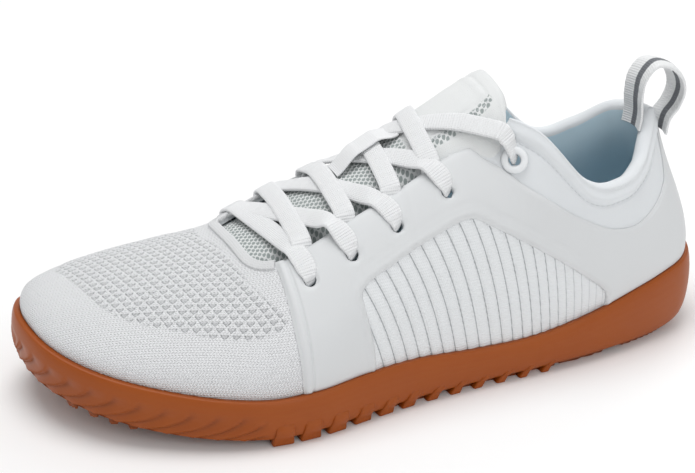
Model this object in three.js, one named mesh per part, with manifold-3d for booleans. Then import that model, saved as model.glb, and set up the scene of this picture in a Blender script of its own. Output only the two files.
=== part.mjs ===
// Barefoot shoe, left foot, standing empty on its sole.
// Millimetres, +Z up, toe at -Y, heel at +Y, outer (lateral) side at +X.
// The origin is on the ground, under the middle of the shoe.

import * as THREE from 'three';
import Module from 'manifold-3d';

const wasm = await Module();
wasm.setup();

// Driving sizes
const SOLE_LENGTH = 285;
const BALL_WIDTH = 108;
const COLLAR_HEIGHT = 89;
const INSTEP_HEIGHT = 101;
const TOE_HEIGHT = 57;
const RIM_HEIGHT = 20;
const TOE_SPRING = 15;
const HEEL_BEVEL = 8;
const GAP = 0.3;

const LUG_DEPTH = 3;
const SOLE_BASE = 3;
const SOLE_WALL = 4;
const INSOLE_THICKNESS = 3;
const UPPER_WALL = 2;
const COLLAR_PAD = 6.5;
const OVERLAY_THICKNESS = 1;
const TONGUE_HEIGHT = 114;
const TONGUE_THICKNESS = 4;
const LACE_WIDTH = 8;
const LACE_THICKNESS = 1.8;
const LACE_HOLE = 5;
const RING_DIAMETER = 10.5;
const LOOP_WIDTH = 14;
const LOOP_THICKNESS = 1.8;
const LOOP_HEIGHT = 114;

// Mesh steps
const STATIONS = 34;
const RISES = 8;

// The sole, one row per station from heel to toe.
// along: share of SOLE_LENGTH. lateral, medial: shares of BALL_WIDTH.
// rim: share of RIM_HEIGHT. spring, bevel: shares of TOE_SPRING and HEEL_BEVEL.
const SOLE = [
  { along: 0.000, lateral: 0.000, medial: 0.000, rim: 1.70, spring: 0.00, bevel: 1.00 },
  { along: 0.008, lateral: 0.140, medial: 0.130, rim: 1.65, spring: 0.00, bevel: 0.66 },
  { along: 0.034, lateral: 0.232, medial: 0.230, rim: 1.56, spring: 0.00, bevel: 0.30 },
  { along: 0.080, lateral: 0.292, medial: 0.292, rim: 1.47, spring: 0.00, bevel: 0.04 },
  { along: 0.140, lateral: 0.335, medial: 0.322, rim: 1.31, spring: 0.00, bevel: 0.00 },
  { along: 0.220, lateral: 0.370, medial: 0.325, rim: 1.06, spring: 0.00, bevel: 0.00 },
  { along: 0.310, lateral: 0.388, medial: 0.310, rim: 0.88, spring: 0.00, bevel: 0.00 },
  { along: 0.400, lateral: 0.398, medial: 0.305, rim: 0.89, spring: 0.00, bevel: 0.00 },
  { along: 0.490, lateral: 0.418, medial: 0.325, rim: 1.00, spring: 0.00, bevel: 0.00 },
  { along: 0.570, lateral: 0.454, medial: 0.375, rim: 1.02, spring: 0.00, bevel: 0.00 },
  { along: 0.640, lateral: 0.490, medial: 0.435, rim: 0.98, spring: 0.00, bevel: 0.00 },
  { along: 0.710, lateral: 0.494, medial: 0.488, rim: 0.98, spring: 0.01, bevel: 0.00 },
  { along: 0.780, lateral: 0.450, medial: 0.513, rim: 1.08, spring: 0.10, bevel: 0.00 },
  { along: 0.850, lateral: 0.368, medial: 0.518, rim: 1.24, spring: 0.28, bevel: 0.00 },
  { along: 0.910, lateral: 0.264, medial: 0.498, rim: 1.40, spring: 0.50, bevel: 0.00 },
  { along: 0.955, lateral: 0.140, medial: 0.448, rim: 1.55, spring: 0.71, bevel: 0.00 },
  { along: 0.986, lateral: 0.000, medial: 0.360, rim: 1.72, spring: 0.89, bevel: 0.00 },
  { along: 1.000, lateral: -0.185, medial: 0.185, rim: 1.84, spring: 1.00, bevel: 0.00 },
];

// The top edge of the upper at the same stations: the collar's topline back to front, then the ridge.
// along: share of SOLE_LENGTH. x: share of BALL_WIDTH, negative towards the medial side.
// collar, instep, toe: the height as a share of COLLAR_HEIGHT, INSTEP_HEIGHT or TOE_HEIGHT.
// rise: the side's height before it turns in. bulge: how far it swells, share of BALL_WIDTH.
// reach: how far the top runs out level. drop: how far the wall falls straight from its edge.
const LATERAL_TOP = [
  { along: 0.056, x: 0.000, collar: 1.00, rise: 0.33, bulge: 0.020, reach: 0.10, drop: 0.3 },
  { along: 0.067, x: 0.052, collar: 0.98, rise: 0.33, bulge: 0.020, reach: 0.10, drop: 0.3 },
  { along: 0.083, x: 0.106, collar: 0.92, rise: 0.33, bulge: 0.022, reach: 0.10, drop: 0.3 },
  { along: 0.108, x: 0.174, collar: 0.83, rise: 0.34, bulge: 0.024, reach: 0.10, drop: 0.3 },
  { along: 0.152, x: 0.244, collar: 0.79, rise: 0.35, bulge: 0.026, reach: 0.10, drop: 0.3 },
  { along: 0.214, x: 0.268, collar: 0.83, rise: 0.38, bulge: 0.022, reach: 0.12, drop: 0.3 },
  { along: 0.300, x: 0.225, collar: 1.13, rise: 0.50, bulge: 0.015, reach: 0.30, drop: 0.25 },
  { along: 0.385, x: -0.075, instep: 1.000, rise: 0.66, bulge: 0.010, reach: 0.72, drop: 0.04 },
  { along: 0.478, x: -0.092, instep: 0.895, rise: 0.62, bulge: 0.010, reach: 0.72, drop: 0 },
  { along: 0.560, x: -0.105, instep: 0.808, rise: 0.58, bulge: 0.020, reach: 0.66, drop: 0 },
  { along: 0.632, x: -0.118, instep: 0.700, rise: 0.53, bulge: 0.028, reach: 0.64, drop: 0 },
  { along: 0.705, x: -0.135, toe: 1.065, rise: 0.49, bulge: 0.032, reach: 0.64, drop: 0 },
  { along: 0.774, x: -0.160, toe: 1.000, rise: 0.48, bulge: 0.030, reach: 0.64, drop: 0 },
  { along: 0.832, x: -0.182, toe: 0.948, rise: 0.48, bulge: 0.026, reach: 0.62, drop: 0 },
  { along: 0.874, x: -0.198, toe: 0.908, rise: 0.50, bulge: 0.022, reach: 0.60, drop: 0 },
  { along: 0.898, x: -0.204, toe: 0.882, rise: 0.52, bulge: 0.018, reach: 0.58, drop: 0 },
  { along: 0.909, x: -0.206, toe: 0.869, rise: 0.54, bulge: 0.015, reach: 0.56, drop: 0 },
  { along: 0.912, x: -0.206, toe: 0.866, rise: 0.55, bulge: 0.014, reach: 0.55, drop: 0 },
];
const MEDIAL_TOP = [
  { along: 0.056, x: 0.000, collar: 1.00, rise: 0.33, bulge: 0.020, reach: 0.10, drop: 0.3 },
  { along: 0.064, x: -0.060, collar: 1.005, rise: 0.33, bulge: 0.020, reach: 0.10, drop: 0.3 },
  { along: 0.077, x: -0.122, collar: 1.00, rise: 0.33, bulge: 0.022, reach: 0.10, drop: 0.3 },
  { along: 0.100, x: -0.188, collar: 0.97, rise: 0.34, bulge: 0.024, reach: 0.10, drop: 0.3 },
  { along: 0.144, x: -0.246, collar: 0.89, rise: 0.35, bulge: 0.026, reach: 0.10, drop: 0.3 },
  { along: 0.208, x: -0.278, collar: 0.86, rise: 0.38, bulge: 0.030, reach: 0.12, drop: 0.3 },
  { along: 0.295, x: -0.270, collar: 1.13, rise: 0.48, bulge: 0.050, reach: 0.30, drop: 0.25 },
  { along: 0.385, x: -0.075, instep: 1.000, rise: 0.62, bulge: 0.080, reach: 0.95, drop: 0.04 },
  { along: 0.478, x: -0.092, instep: 0.895, rise: 0.61, bulge: 0.078, reach: 0.92, drop: 0 },
  { along: 0.560, x: -0.105, instep: 0.808, rise: 0.60, bulge: 0.060, reach: 0.86, drop: 0 },
  { along: 0.632, x: -0.118, instep: 0.700, rise: 0.57, bulge: 0.042, reach: 0.76, drop: 0 },
  { along: 0.705, x: -0.135, toe: 1.065, rise: 0.53, bulge: 0.032, reach: 0.70, drop: 0 },
  { along: 0.774, x: -0.160, toe: 1.000, rise: 0.50, bulge: 0.030, reach: 0.66, drop: 0 },
  { along: 0.832, x: -0.182, toe: 0.948, rise: 0.50, bulge: 0.026, reach: 0.64, drop: 0 },
  { along: 0.874, x: -0.198, toe: 0.908, rise: 0.50, bulge: 0.022, reach: 0.60, drop: 0 },
  { along: 0.898, x: -0.204, toe: 0.882, rise: 0.52, bulge: 0.018, reach: 0.58, drop: 0 },
  { along: 0.909, x: -0.206, toe: 0.869, rise: 0.54, bulge: 0.015, reach: 0.56, drop: 0 },
  { along: 0.912, x: -0.206, toe: 0.866, rise: 0.55, bulge: 0.014, reach: 0.55, drop: 0 },
];
const RIDGE_ROW = 7;
const LAST_ROW = SOLE.length - 1;

const mix = (a, b, t) => a + (b - a) * t;
const clamp = (value, low, high) => Math.min(high, Math.max(low, value));
const smooth = (low, high, value) => {
  const t = clamp((value - low) / (high - low), 0, 1);
  return t * t * (3 - 2 * t);
};
const yAt = (along) => SOLE_LENGTH * (0.5 - along);

// A smooth value through four neighbouring table values
function spline(a, b, c, d, t) {
  return b + 0.5 * t * (c - a + t * (2 * a - 5 * b + 4 * c - d + t * (3 * (b - c) + d - a)));
}

// One column of an open table at position k, 0 at the heel and 1 at the toe
function column(table, name, k) {
  const place = clamp(k, 0, 1) * (table.length - 1);
  const row = Math.min(Math.floor(place), table.length - 2);
  const value = (index) => table[clamp(index, 0, table.length - 1)][name] ?? 0;
  return spline(value(row - 1), value(row), value(row + 1), value(row + 2), place - row);
}

// The sole's outline as one closed ring: up the lateral side, back down the medial side
const RING = [
  ...SOLE.map((row) => ({ ...row, x: row.lateral })),
  ...SOLE.slice(1, -1).reverse().map((row) => ({ ...row, x: -row.medial })),
];
function ringValue(name, place) {
  const row = Math.floor(place);
  const value = (index) => RING[(index + 2 * RING.length) % RING.length][name];
  return spline(value(row - 1), value(row), value(row + 1), value(row + 2), place - row);
}
function ringPoint(place) {
  return [ringValue('x', place) * BALL_WIDTH, yAt(ringValue('along', place))];
}

// A point of the outline moved in by inset, with the heights that hold there
function edge(side, k, inset) {
  const place = side > 0 ? k * LAST_ROW : RING.length - k * LAST_ROW;
  const [x, y] = ringPoint(place);
  const step = 0.02;
  const [xa, ya] = ringPoint(place - step);
  const [xb, yb] = ringPoint(place + step);
  const run = Math.hypot(xb - xa, yb - ya);
  const out = [-(yb - ya) / run, (xb - xa) / run];
  const base = ringValue('spring', place) * TOE_SPRING + ringValue('bevel', place) * HEEL_BEVEL;
  return {
    x: x - out[0] * inset,
    y: y - out[1] * inset,
    out,
    base: Math.max(base, 0),
    rim: ringValue('rim', place) * RIM_HEIGHT,
  };
}
const floorOf = (point) => point.base + LUG_DEPTH + SOLE_BASE;

// The upper's top edge at station k
function topEdge(side, k) {
  const table = side > 0 ? LATERAL_TOP : MEDIAL_TOP;
  const z = column(table, 'collar', k) * COLLAR_HEIGHT
    + column(table, 'instep', k) * INSTEP_HEIGHT
    + column(table, 'toe', k) * TOE_HEIGHT;
  return new THREE.Vector3(column(table, 'x', k) * BALL_WIDTH, yAt(column(table, 'along', k)), z);
}

// The upper's outer face at station k: a straight skirt inside the sole, then one curve to the top edge
const SKIRT = 0.12;
function upperPoint(side, k, v) {
  const table = side > 0 ? LATERAL_TOP : MEDIAL_TOP;
  const foot = edge(side, k, SOLE_WALL + GAP);
  const start = new THREE.Vector3(foot.x, foot.y, foot.rim);
  if (v < SKIRT) {
    return new THREE.Vector3(foot.x, foot.y, mix(floorOf(foot) + GAP, foot.rim, v / SKIRT));
  }
  const end = topEdge(side, k);
  const step = 0.004;
  const before = topEdge(side, Math.max(k - step, 0));
  const after = topEdge(side, Math.min(k + step, 1));
  const pitch = k > (RIDGE_ROW + 1) / LAST_ROW ? (after.z - before.z) / (after.y - before.y) : 0;
  const level = new THREE.Vector3(start.x - end.x, start.y - end.y, 0);
  const width = level.length();
  level.normalize();
  const height = end.z - start.z;
  const reach = column(table, 'reach', k) * Math.max(width, height * 0.2);
  const swell = column(table, 'bulge', k) * BALL_WIDTH;
  const one = start.clone().add(
    new THREE.Vector3(foot.out[0] * swell, foot.out[1] * swell, column(table, 'rise', k) * height));
  const two = end.clone().addScaledVector(level, reach);
  two.z += pitch * level.y * reach - column(table, 'drop', k) * height;
  return new THREE.CubicBezierCurve3(start, one, two, end).getPoint((v - SKIRT) / (1 - SKIRT));
}

// Solids
function meshOf(vertices, triangles) {
  return new wasm.Manifold(new wasm.Mesh({
    numProp: 3,
    vertProperties: Float32Array.from(vertices.flatMap((v) => [v.x, v.y, v.z])),
    triVerts: Uint32Array.from(triangles.flat()),
  }));
}

function geometryOf(solid) {
  const mesh = solid.getMesh();
  const geometry = new THREE.BufferGeometry();
  geometry.setAttribute('position', new THREE.BufferAttribute(new Float32Array(mesh.vertProperties), 3));
  geometry.setIndex(new THREE.BufferAttribute(new Uint32Array(mesh.triVerts), 1));
  geometry.computeVertexNormals();
  return geometry;
}

// A closed solid from a three.js geometry, its equal vertices joined
function solidOf(geometry) {
  const position = geometry.getAttribute('position');
  const index = geometry.index;
  const seen = new Map();
  const vertices = [];
  const id = (n) => {
    const v = new THREE.Vector3().fromBufferAttribute(position, n);
    const key = [v.x, v.y, v.z].map((c) => Math.round(c * 1e4)).join(' ');
    if (!seen.has(key)) {
      seen.set(key, vertices.length);
      vertices.push(v);
    }
    return seen.get(key);
  };
  const triangles = [];
  const count = index ? index.count : position.count;
  for (let n = 0; n < count; n += 3) {
    const triangle = [0, 1, 2].map((m) => id(index ? index.getX(n + m) : n + m));
    if (new Set(triangle).size === 3) triangles.push(triangle);
  }
  return meshOf(vertices, triangles);
}

const joinAll = (solids) => solids.reduce((sum, solid) => sum.add(solid));

// Two flat copies of one outline, turned into a block between two heights
function block(outline, low, high) {
  const shape = new THREE.Shape(outline.map(([x, y]) => new THREE.Vector2(x, y)));
  const geometry = new THREE.ExtrudeGeometry(shape, { depth: high - low, bevelEnabled: false });
  geometry.translate(0, 0, low);
  return solidOf(geometry);
}

// A solid from closed sections across the shoe. Each section runs from the middle of the underside,
// round the side, to the middle of the top side, once for each side of the shoe. The two halves share
// their middle points, and at heel and toe the halves are one curve.
function crossLoft(section, steps) {
  const vertices = [];
  const ids = [];
  for (let i = 0; i <= steps; i += 1) {
    const k = i / steps;
    const lateral = section(1, k);
    const medial = section(-1, k);
    const last = lateral.length - 1;
    const closed = i === 0 || i === steps;
    const half = (points) => points.map((point) => vertices.push(point) - 1);
    const right = half(lateral);
    const left = closed ? right.slice() : half(medial);
    left[0] = right[0];
    left[last] = right[last];
    ids.push([left, right]);
  }
  const triangles = [];
  const quad = (a, b, c, d) => triangles.push([a, b, c], [a, c, d]);
  for (let i = 0; i < steps; i += 1) {
    for (let j = 0; j < ids[0][0].length - 1; j += 1) {
      const [left, right] = ids[i];
      const [nextLeft, nextRight] = ids[i + 1];
      quad(right[j], right[j + 1], nextRight[j + 1], nextRight[j]);
      quad(left[j], nextLeft[j], nextLeft[j + 1], left[j + 1]);
    }
  }
  const geometry = new THREE.BufferGeometry();
  geometry.setAttribute('position', new THREE.Float32BufferAttribute(
    vertices.flatMap((v) => [v.x, v.y, v.z]), 3));
  geometry.setIndex(triangles.flat());
  return solidOf(geometry);
}

// Points from the shoe's middle line out to an inset edge, at a height above the base line
function spread(side, k, inset, height, share) {
  const own = edge(side, k, inset);
  const other = edge(-side, k, inset);
  const middle = [(own.x + other.x) / 2, (own.y + other.y) / 2];
  return new THREE.Vector3(
    mix(middle[0], own.x, share),
    mix(middle[1], own.y, share),
    own.base + height,
  );
}

// Side of the sole from the tread up to the rim: inset as a share of SOLE_WALL, height of the wall's own
const WALL_PROFILE = [
  { inset: 1.100, share: 0.00 },
  { inset: 0.475, share: 0.10 },
  { inset: 0.125, share: 0.30 },
  { inset: 0.000, share: 0.55 },
  { inset: 0.150, share: 0.85 },
  { inset: 0.400, share: 1.00 },
];

function soleCup() {
  return crossLoft((side, k) => {
    const points = [spread(side, k, SOLE_WALL * WALL_PROFILE[0].inset, LUG_DEPTH, 0)];
    for (const row of WALL_PROFILE) {
      const point = edge(side, k, SOLE_WALL * row.inset);
      points.push(new THREE.Vector3(point.x, point.y, mix(point.base + LUG_DEPTH, point.rim, row.share)));
    }
    const inner = edge(side, k, SOLE_WALL);
    points.push(new THREE.Vector3(inner.x, inner.y, inner.rim));
    points.push(new THREE.Vector3(inner.x, inner.y, floorOf(inner)));
    points.push(spread(side, k, SOLE_WALL, LUG_DEPTH + SOLE_BASE, 0));
    return points;
  }, STATIONS);
}

// The tread, front to back. Every lug is a prism standing on the ground line of its own station.
const rectangle = (width, length) => [
  [-width / 2, -length / 2], [width / 2, -length / 2], [width / 2, length / 2], [-width / 2, length / 2],
];
// An arrow head with its point towards the toe
const chevron = (width, arm) => [
  [0, -width * 0.45], [width / 2, -width * 0.1], [width / 2, arm - width * 0.1],
  [0, arm - width * 0.45], [-width / 2, arm - width * 0.1], [-width / 2, -width * 0.1],
];

function stationAt(along) {
  let k = 0;
  while (k < 1 && column(SOLE, 'along', k) < along) k += 0.002;
  return k;
}

// A lug of the given outline and top, turned in plan and tilted with the sole's spring
function lug(outline, x, along, turn, top) {
  const step = 0.01;
  const ground = edge(1, stationAt(along), 0).base;
  const slope = (edge(1, stationAt(along + step), 0).base - edge(1, stationAt(along - step), 0).base)
    / (2 * step * SOLE_LENGTH);
  const shape = new THREE.Shape(outline.map(([u, v]) => new THREE.Vector2(u, v)));
  const geometry = new THREE.ExtrudeGeometry(shape, { depth: top, bevelEnabled: false });
  geometry.rotateZ(turn);
  geometry.rotateX(-Math.atan(slope));
  geometry.translate(x, yAt(along), ground);
  return solidOf(geometry);
}

// The forefoot's arrow heads, one row of the table per row of lugs
// along: share of SOLE_LENGTH. first, last: shares of BALL_WIDTH for the outer columns.
const CHEVRON_ROWS = [
  { along: 0.655, first: -0.28, last: 0.35, count: 5 },
  { along: 0.700, first: -0.32, last: 0.37, count: 5 },
  { along: 0.745, first: -0.35, last: 0.36, count: 5 },
  { along: 0.790, first: -0.37, last: 0.30, count: 5 },
  { along: 0.835, first: -0.37, last: 0.22, count: 4 },
];
const CHEVRON = { width: 10, arm: 4.2 };
const LUG_TOP = LUG_DEPTH + SOLE_BASE / 2;

function chevrons() {
  const lugs = [];
  for (const row of CHEVRON_ROWS) {
    for (let n = 0; n < row.count; n += 1) {
      const x = mix(row.first, row.last, n / (row.count - 1)) * BALL_WIDTH;
      lugs.push(lug(chevron(CHEVRON.width, CHEVRON.arm), x, row.along, 0, LUG_TOP));
    }
  }
  return lugs;
}

// Ribs across the toe, split by grooves that run lengthwise
const TOE_BARS = { first: 0.880, step: 0.0225, rows: 4, sectors: 3, width: 3.8, groove: 2.2, inset: 5 };
function toeBars() {
  const bars = [];
  for (let n = 0; n < TOE_BARS.rows; n += 1) {
    const along = TOE_BARS.first + TOE_BARS.step * n;
    const k = stationAt(along);
    const right = edge(1, k, TOE_BARS.inset).x;
    const left = edge(-1, k, TOE_BARS.inset).x;
    const pitch = (right - left) / TOE_BARS.sectors;
    for (let m = 0; m < TOE_BARS.sectors; m += 1) {
      const x = left + pitch * (m + 0.5);
      bars.push(lug(rectangle(pitch - TOE_BARS.groove, TOE_BARS.width), x, along, 0, LUG_TOP));
    }
  }
  return bars;
}

// Square lugs along the inner edge of the forefoot
const EDGE_LUGS = { first: 0.655, step: 0.045, count: 5, width: 8, length: 7, inset: 7 };
// Square tabs that climb the outer side, narrower towards the waist. width: share of SIDE_TAB.width.
const SIDE_TABS = [
  { along: 0.700, width: 1.00 }, { along: 0.660, width: 1.00 }, { along: 0.620, width: 0.93 },
  { along: 0.580, width: 0.93 }, { along: 0.543, width: 0.67 }, { along: 0.508, width: 0.60 },
];
const SIDE_TAB = { top: 8.5, depth: 3.8, width: 7.5 };

function edgeLugs() {
  const lugs = [];
  for (let n = 0; n < EDGE_LUGS.count; n += 1) {
    const along = EDGE_LUGS.first + EDGE_LUGS.step * n;
    const point = edge(-1, stationAt(along), EDGE_LUGS.inset);
    const turn = Math.atan2(-point.out[1], -point.out[0]);
    lugs.push(lug(rectangle(EDGE_LUGS.width, EDGE_LUGS.length), point.x, along, turn, LUG_TOP));
  }
  for (const row of SIDE_TABS) {
    const point = edge(1, stationAt(row.along), SIDE_TAB.depth / 2);
    const turn = Math.atan2(point.out[1], point.out[0]);
    const outline = rectangle(SIDE_TAB.depth, SIDE_TAB.width * row.width);
    lugs.push(lug(outline, point.x, row.along, turn, SIDE_TAB.top));
  }
  return lugs;
}

// Midfoot and heel: one flat plate with thin crossing grooves and a curved one at the heel
const PLATE = { front: 0.625, back: 0.080, steps: 14, inset: 4.6, groove: 1.8 };
const PLATE_CUTS = [0.545, 0.450, 0.355];
const CUT_ANGLE = 0.62;
const HEEL_GROOVE = { along: 0.235, radius: 46, width: 7, steps: 10 };
const HEEL_PAD = { along: 0.056, width: 36, length: 11 };

function plate() {
  const outline = [];
  for (const side of [1, -1]) {
    for (let n = 0; n <= PLATE.steps; n += 1) {
      const t = side > 0 ? n / PLATE.steps : 1 - n / PLATE.steps;
      const point = edge(side, stationAt(mix(PLATE.back, PLATE.front, t)), PLATE.inset);
      outline.push([point.x, point.y]);
    }
  }
  const cuts = PLATE_CUTS.flatMap((along) => [CUT_ANGLE, -CUT_ANGLE].map((turn) => block(
    rectangle(BALL_WIDTH * 1.4, PLATE.groove).map(([u, v]) => [
      u * Math.cos(turn) - v * Math.sin(turn),
      yAt(along) + u * Math.sin(turn) + v * Math.cos(turn),
    ]), -1, LUG_DEPTH + SOLE_BASE)));
  const arc = [];
  for (let n = 0; n <= HEEL_GROOVE.steps; n += 1) {
    const angle = Math.PI * (1 + n / HEEL_GROOVE.steps);
    arc.push([Math.cos(angle), Math.sin(angle)]);
  }
  const middle = yAt(HEEL_GROOVE.along) + HEEL_GROOVE.radius;
  const ring = (points, radius) => points.map(([u, v]) => [u * radius, middle + v * radius]);
  cuts.push(block([
    ...ring(arc, HEEL_GROOVE.radius),
    ...ring([...arc].reverse(), HEEL_GROOVE.radius - HEEL_GROOVE.width),
  ], -1, LUG_DEPTH + SOLE_BASE));
  return block(outline.reverse(), 0, LUG_TOP).subtract(joinAll(cuts));
}

const heelPad = () => lug(rectangle(HEEL_PAD.width, HEEL_PAD.length), 0, HEEL_PAD.along, 0, LUG_TOP);

// The upper's outer face as one grid of points, its seams at heel, ridge and toe shared
const RIDGE_STEP = RIDGE_ROW * (STATIONS / LAST_ROW);
function lastGrid() {
  const points = [];
  const ids = { 1: [], '-1': [] };
  for (const side of [1, -1]) {
    for (let i = 0; i <= STATIONS; i += 1) {
      const row = [];
      for (let j = 0; j <= RISES; j += 1) {
        const shared = side < 0 && (i === 0 || i === STATIONS || (j === RISES && i >= RIDGE_STEP));
        if (shared) {
          row.push(ids[1][i][j]);
          continue;
        }
        const v = j < 1 ? 0 : SKIRT + (1 - SKIRT) * (j - 1) / (RISES - 1);
        const k = i / STATIONS;
        points.push({ at: upperPoint(side, k, v), v, k, normal: new THREE.Vector3() });
        row.push(points.length - 1);
      }
      ids[side].push(row);
    }
  }
  const faces = [];
  for (const side of [1, -1]) {
    for (let i = 0; i < STATIONS; i += 1) {
      for (let j = 0; j < RISES; j += 1) {
        const [a, b] = [ids[side][i][j], ids[side][i + 1][j]];
        const [c, d] = [ids[side][i + 1][j + 1], ids[side][i][j + 1]];
        const pair = side > 0 ? [[a, d, c], [a, c, b]] : [[a, b, c], [a, c, d]];
        for (const face of pair) if (new Set(face).size === 3) faces.push(face);
      }
    }
  }
  for (const [a, b, c] of faces) {
    const [p, q, r] = [a, b, c].map((n) => points[n].at);
    const normal = q.clone().sub(p).cross(r.clone().sub(p));
    for (const n of [a, b, c]) points[n].normal.add(normal);
  }
  for (const point of points) point.normal.normalize();
  return { points, ids, faces };
}
const LAST = lastGrid();

// The loops of points along the upper's bottom edge and along its topline
function rimLoop(j, lastStep) {
  const loop = [];
  for (let i = 0; i < lastStep; i += 1) loop.push(LAST.ids[1][i][j]);
  for (let i = lastStep; i > 0; i -= 1) loop.push(LAST.ids[-1][i][j]);
  return loop;
}

// A closed shell over the last between two offsets, each a function of the point
function shell(outer, inner, round) {
  const { points, faces } = LAST;
  const vertices = [];
  const offset = (height) => points.map((point) =>
    vertices.push(point.at.clone().addScaledVector(point.normal, height(point))) - 1);
  const outerAt = offset(outer);
  const innerAt = offset((point) => -inner(point));
  const triangles = [];
  for (const [a, b, c] of faces) {
    triangles.push([outerAt[a], outerAt[b], outerAt[c]], [innerAt[a], innerAt[c], innerAt[b]]);
  }
  const close = (loop, steps, turned) => {
    const strips = loop.map((n) => {
      const strip = [outerAt[n]];
      for (let m = 1; m < steps; m += 1) {
        const p = vertices[outerAt[n]];
        const q = vertices[innerAt[n]];
        const t = m / steps;
        const place = p.clone().lerp(q, (1 - Math.cos(Math.PI * t)) / 2);
        place.z += p.distanceTo(q) / 2 * Math.sin(Math.PI * t) * round;
        strip.push(vertices.push(place) - 1);
      }
      strip.push(innerAt[n]);
      return strip;
    });
    strips.forEach((strip, n) => {
      const next = strips[(n + 1) % strips.length];
      for (let m = 0; m < steps; m += 1) {
        const quad = turned
          ? [[strip[m], strip[m + 1], next[m + 1]], [strip[m], next[m + 1], next[m]]]
          : [[strip[m], next[m + 1], strip[m + 1]], [strip[m], next[m], next[m + 1]]];
        triangles.push(...quad);
      }
    });
  };
  close(rimLoop(0, STATIONS), 1, false);
  close(rimLoop(RISES, RIDGE_STEP), round > 0 ? 4 : 1, true);
  return meshOf(vertices, triangles);
}

// The upper's wall: thin at the vamp, padded at the collar
const PAD_ROWS = { full: 4.6, none: 6.0 };
function wallAt(point) {
  const row = point.k * LAST_ROW;
  const pad = smooth(0.42, 0.9, point.v) * (1 - smooth(PAD_ROWS.full, PAD_ROWS.none, row));
  return mix(UPPER_WALL, COLLAR_PAD, pad);
}

// Height of the closed last above a place in plan
const lastMesh = (() => {
  const geometry = new THREE.BufferGeometry();
  geometry.setAttribute('position', new THREE.Float32BufferAttribute(
    LAST.points.flatMap(({ at }) => [at.x, at.y, at.z]), 3));
  geometry.setIndex(LAST.faces.flat());
  return new THREE.Mesh(geometry, new THREE.MeshBasicMaterial());
})();
function onLast(x, y) {
  const ray = new THREE.Raycaster(
    new THREE.Vector3(x, y, INSTEP_HEIGHT * 2), new THREE.Vector3(0, 0, -1));
  const [hit] = ray.intersectObject(lastMesh);
  return hit ? { z: hit.point.z, rise: 1 / hit.face.normal.z } : null;
}

// The last's height at a place, or beyond its outline at the nearest place towards the middle line
const NEARER = 0.96;
function nearLast(x, y) {
  let within = x;
  let place = onLast(within, y);
  while (!place) {
    within *= NEARER;
    place = onLast(within, y);
  }
  return place.z;
}

// The throat, its edges as shares of BALL_WIDTH
const THROAT = [
  { along: 0.690, lateral: 0.120, medial: -0.235 },
  { along: 0.660, lateral: 0.185, medial: -0.258 },
  { along: 0.620, lateral: 0.196, medial: -0.272 },
  { along: 0.560, lateral: 0.192, medial: -0.275 },
  { along: 0.478, lateral: 0.174, medial: -0.260 },
  { along: 0.400, lateral: 0.150, medial: -0.240 },
  { along: 0.350, lateral: 0.145, medial: -0.232 },
  { along: 0.328, lateral: 0.150, medial: -0.236 },
  { along: 0.312, lateral: 0.160, medial: -0.245 },
];
const THROAT_FRONT = { along: 0.705, lateral: -0.02, medial: -0.205 };
function throatOutline(grow) {
  const top = THROAT[THROAT.length - 1];
  const wide = grow / BALL_WIDTH;
  const ahead = grow / SOLE_LENGTH;
  const to = (x, along) => [x * BALL_WIDTH, yAt(along)];
  return [
    to(THROAT_FRONT.medial, THROAT_FRONT.along + ahead),
    to(THROAT_FRONT.lateral, THROAT_FRONT.along - 0.006 + ahead),
    ...THROAT.map((row) => to(row.lateral + wide, row.along)),
    to(top.lateral + wide, top.along - 0.05),
    to(top.medial - wide, top.along - 0.05),
    ...[...THROAT].reverse().map((row) => to(row.medial - wide, row.along)),
  ];
}
const throatCut = () => block(throatOutline(0), RIM_HEIGHT * 2, INSTEP_HEIGHT * 1.3);

// Lace holes front to back on each side: station k, and how far up the section they sit
const EYELETS = {
  1: [
    { k: 0.584, rise: 0.580 }, { k: 0.532, rise: 0.565 }, { k: 0.482, rise: 0.580 },
    { k: 0.432, rise: 0.600 }, { k: 0.368, rise: 0.785 },
  ],
  '-1': [
    { k: 0.620, rise: 0.640 }, { k: 0.575, rise: 0.605 }, { k: 0.524, rise: 0.575 },
    { k: 0.471, rise: 0.565 }, { k: 0.425, rise: 0.600 },
  ],
};
const TOP_EYELET = EYELETS[1].length - 1;
// A place on the upper's outer face with its outward normal
function onUpper(side, k, v) {
  const step = 0.004;
  const at = upperPoint(side, k, v);
  const alongStep = upperPoint(side, k + step, v).sub(upperPoint(side, k - step, v));
  const upStep = upperPoint(side, k, v + step).sub(upperPoint(side, k, v - step));
  return { at, normal: upStep.cross(alongStep).multiplyScalar(side).normalize() };
}
const eyelet = (side, n) => onUpper(side, EYELETS[side][n].k, EYELETS[side][n].rise);
const standing = (geometry, place, normal) => {
  const turn = new THREE.Quaternion().setFromUnitVectors(new THREE.Vector3(0, 0, 1), normal);
  geometry.applyQuaternion(turn);
  geometry.translate(place.x, place.y, place.z);
  return geometry;
};
function laceHoles(diameter, topDiameter) {
  const holes = [];
  for (const side of [1, -1]) {
    for (let n = 0; n <= TOP_EYELET; n += 1) {
      const { at, normal } = eyelet(side, n);
      const radius = (n === TOP_EYELET ? topDiameter : diameter) / 2;
      const tool = new THREE.CylinderGeometry(radius, radius, COLLAR_PAD * 2.4, 8);
      tool.rotateX(Math.PI / 2);
      holes.push(solidOf(standing(tool, at, normal)));
    }
  }
  return joinAll(holes);
}

function upper() {
  return shell(() => 0, wallAt, 1).subtract(throatCut()).subtract(laceHoles(LACE_HOLE, LACE_HOLE));
}

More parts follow.
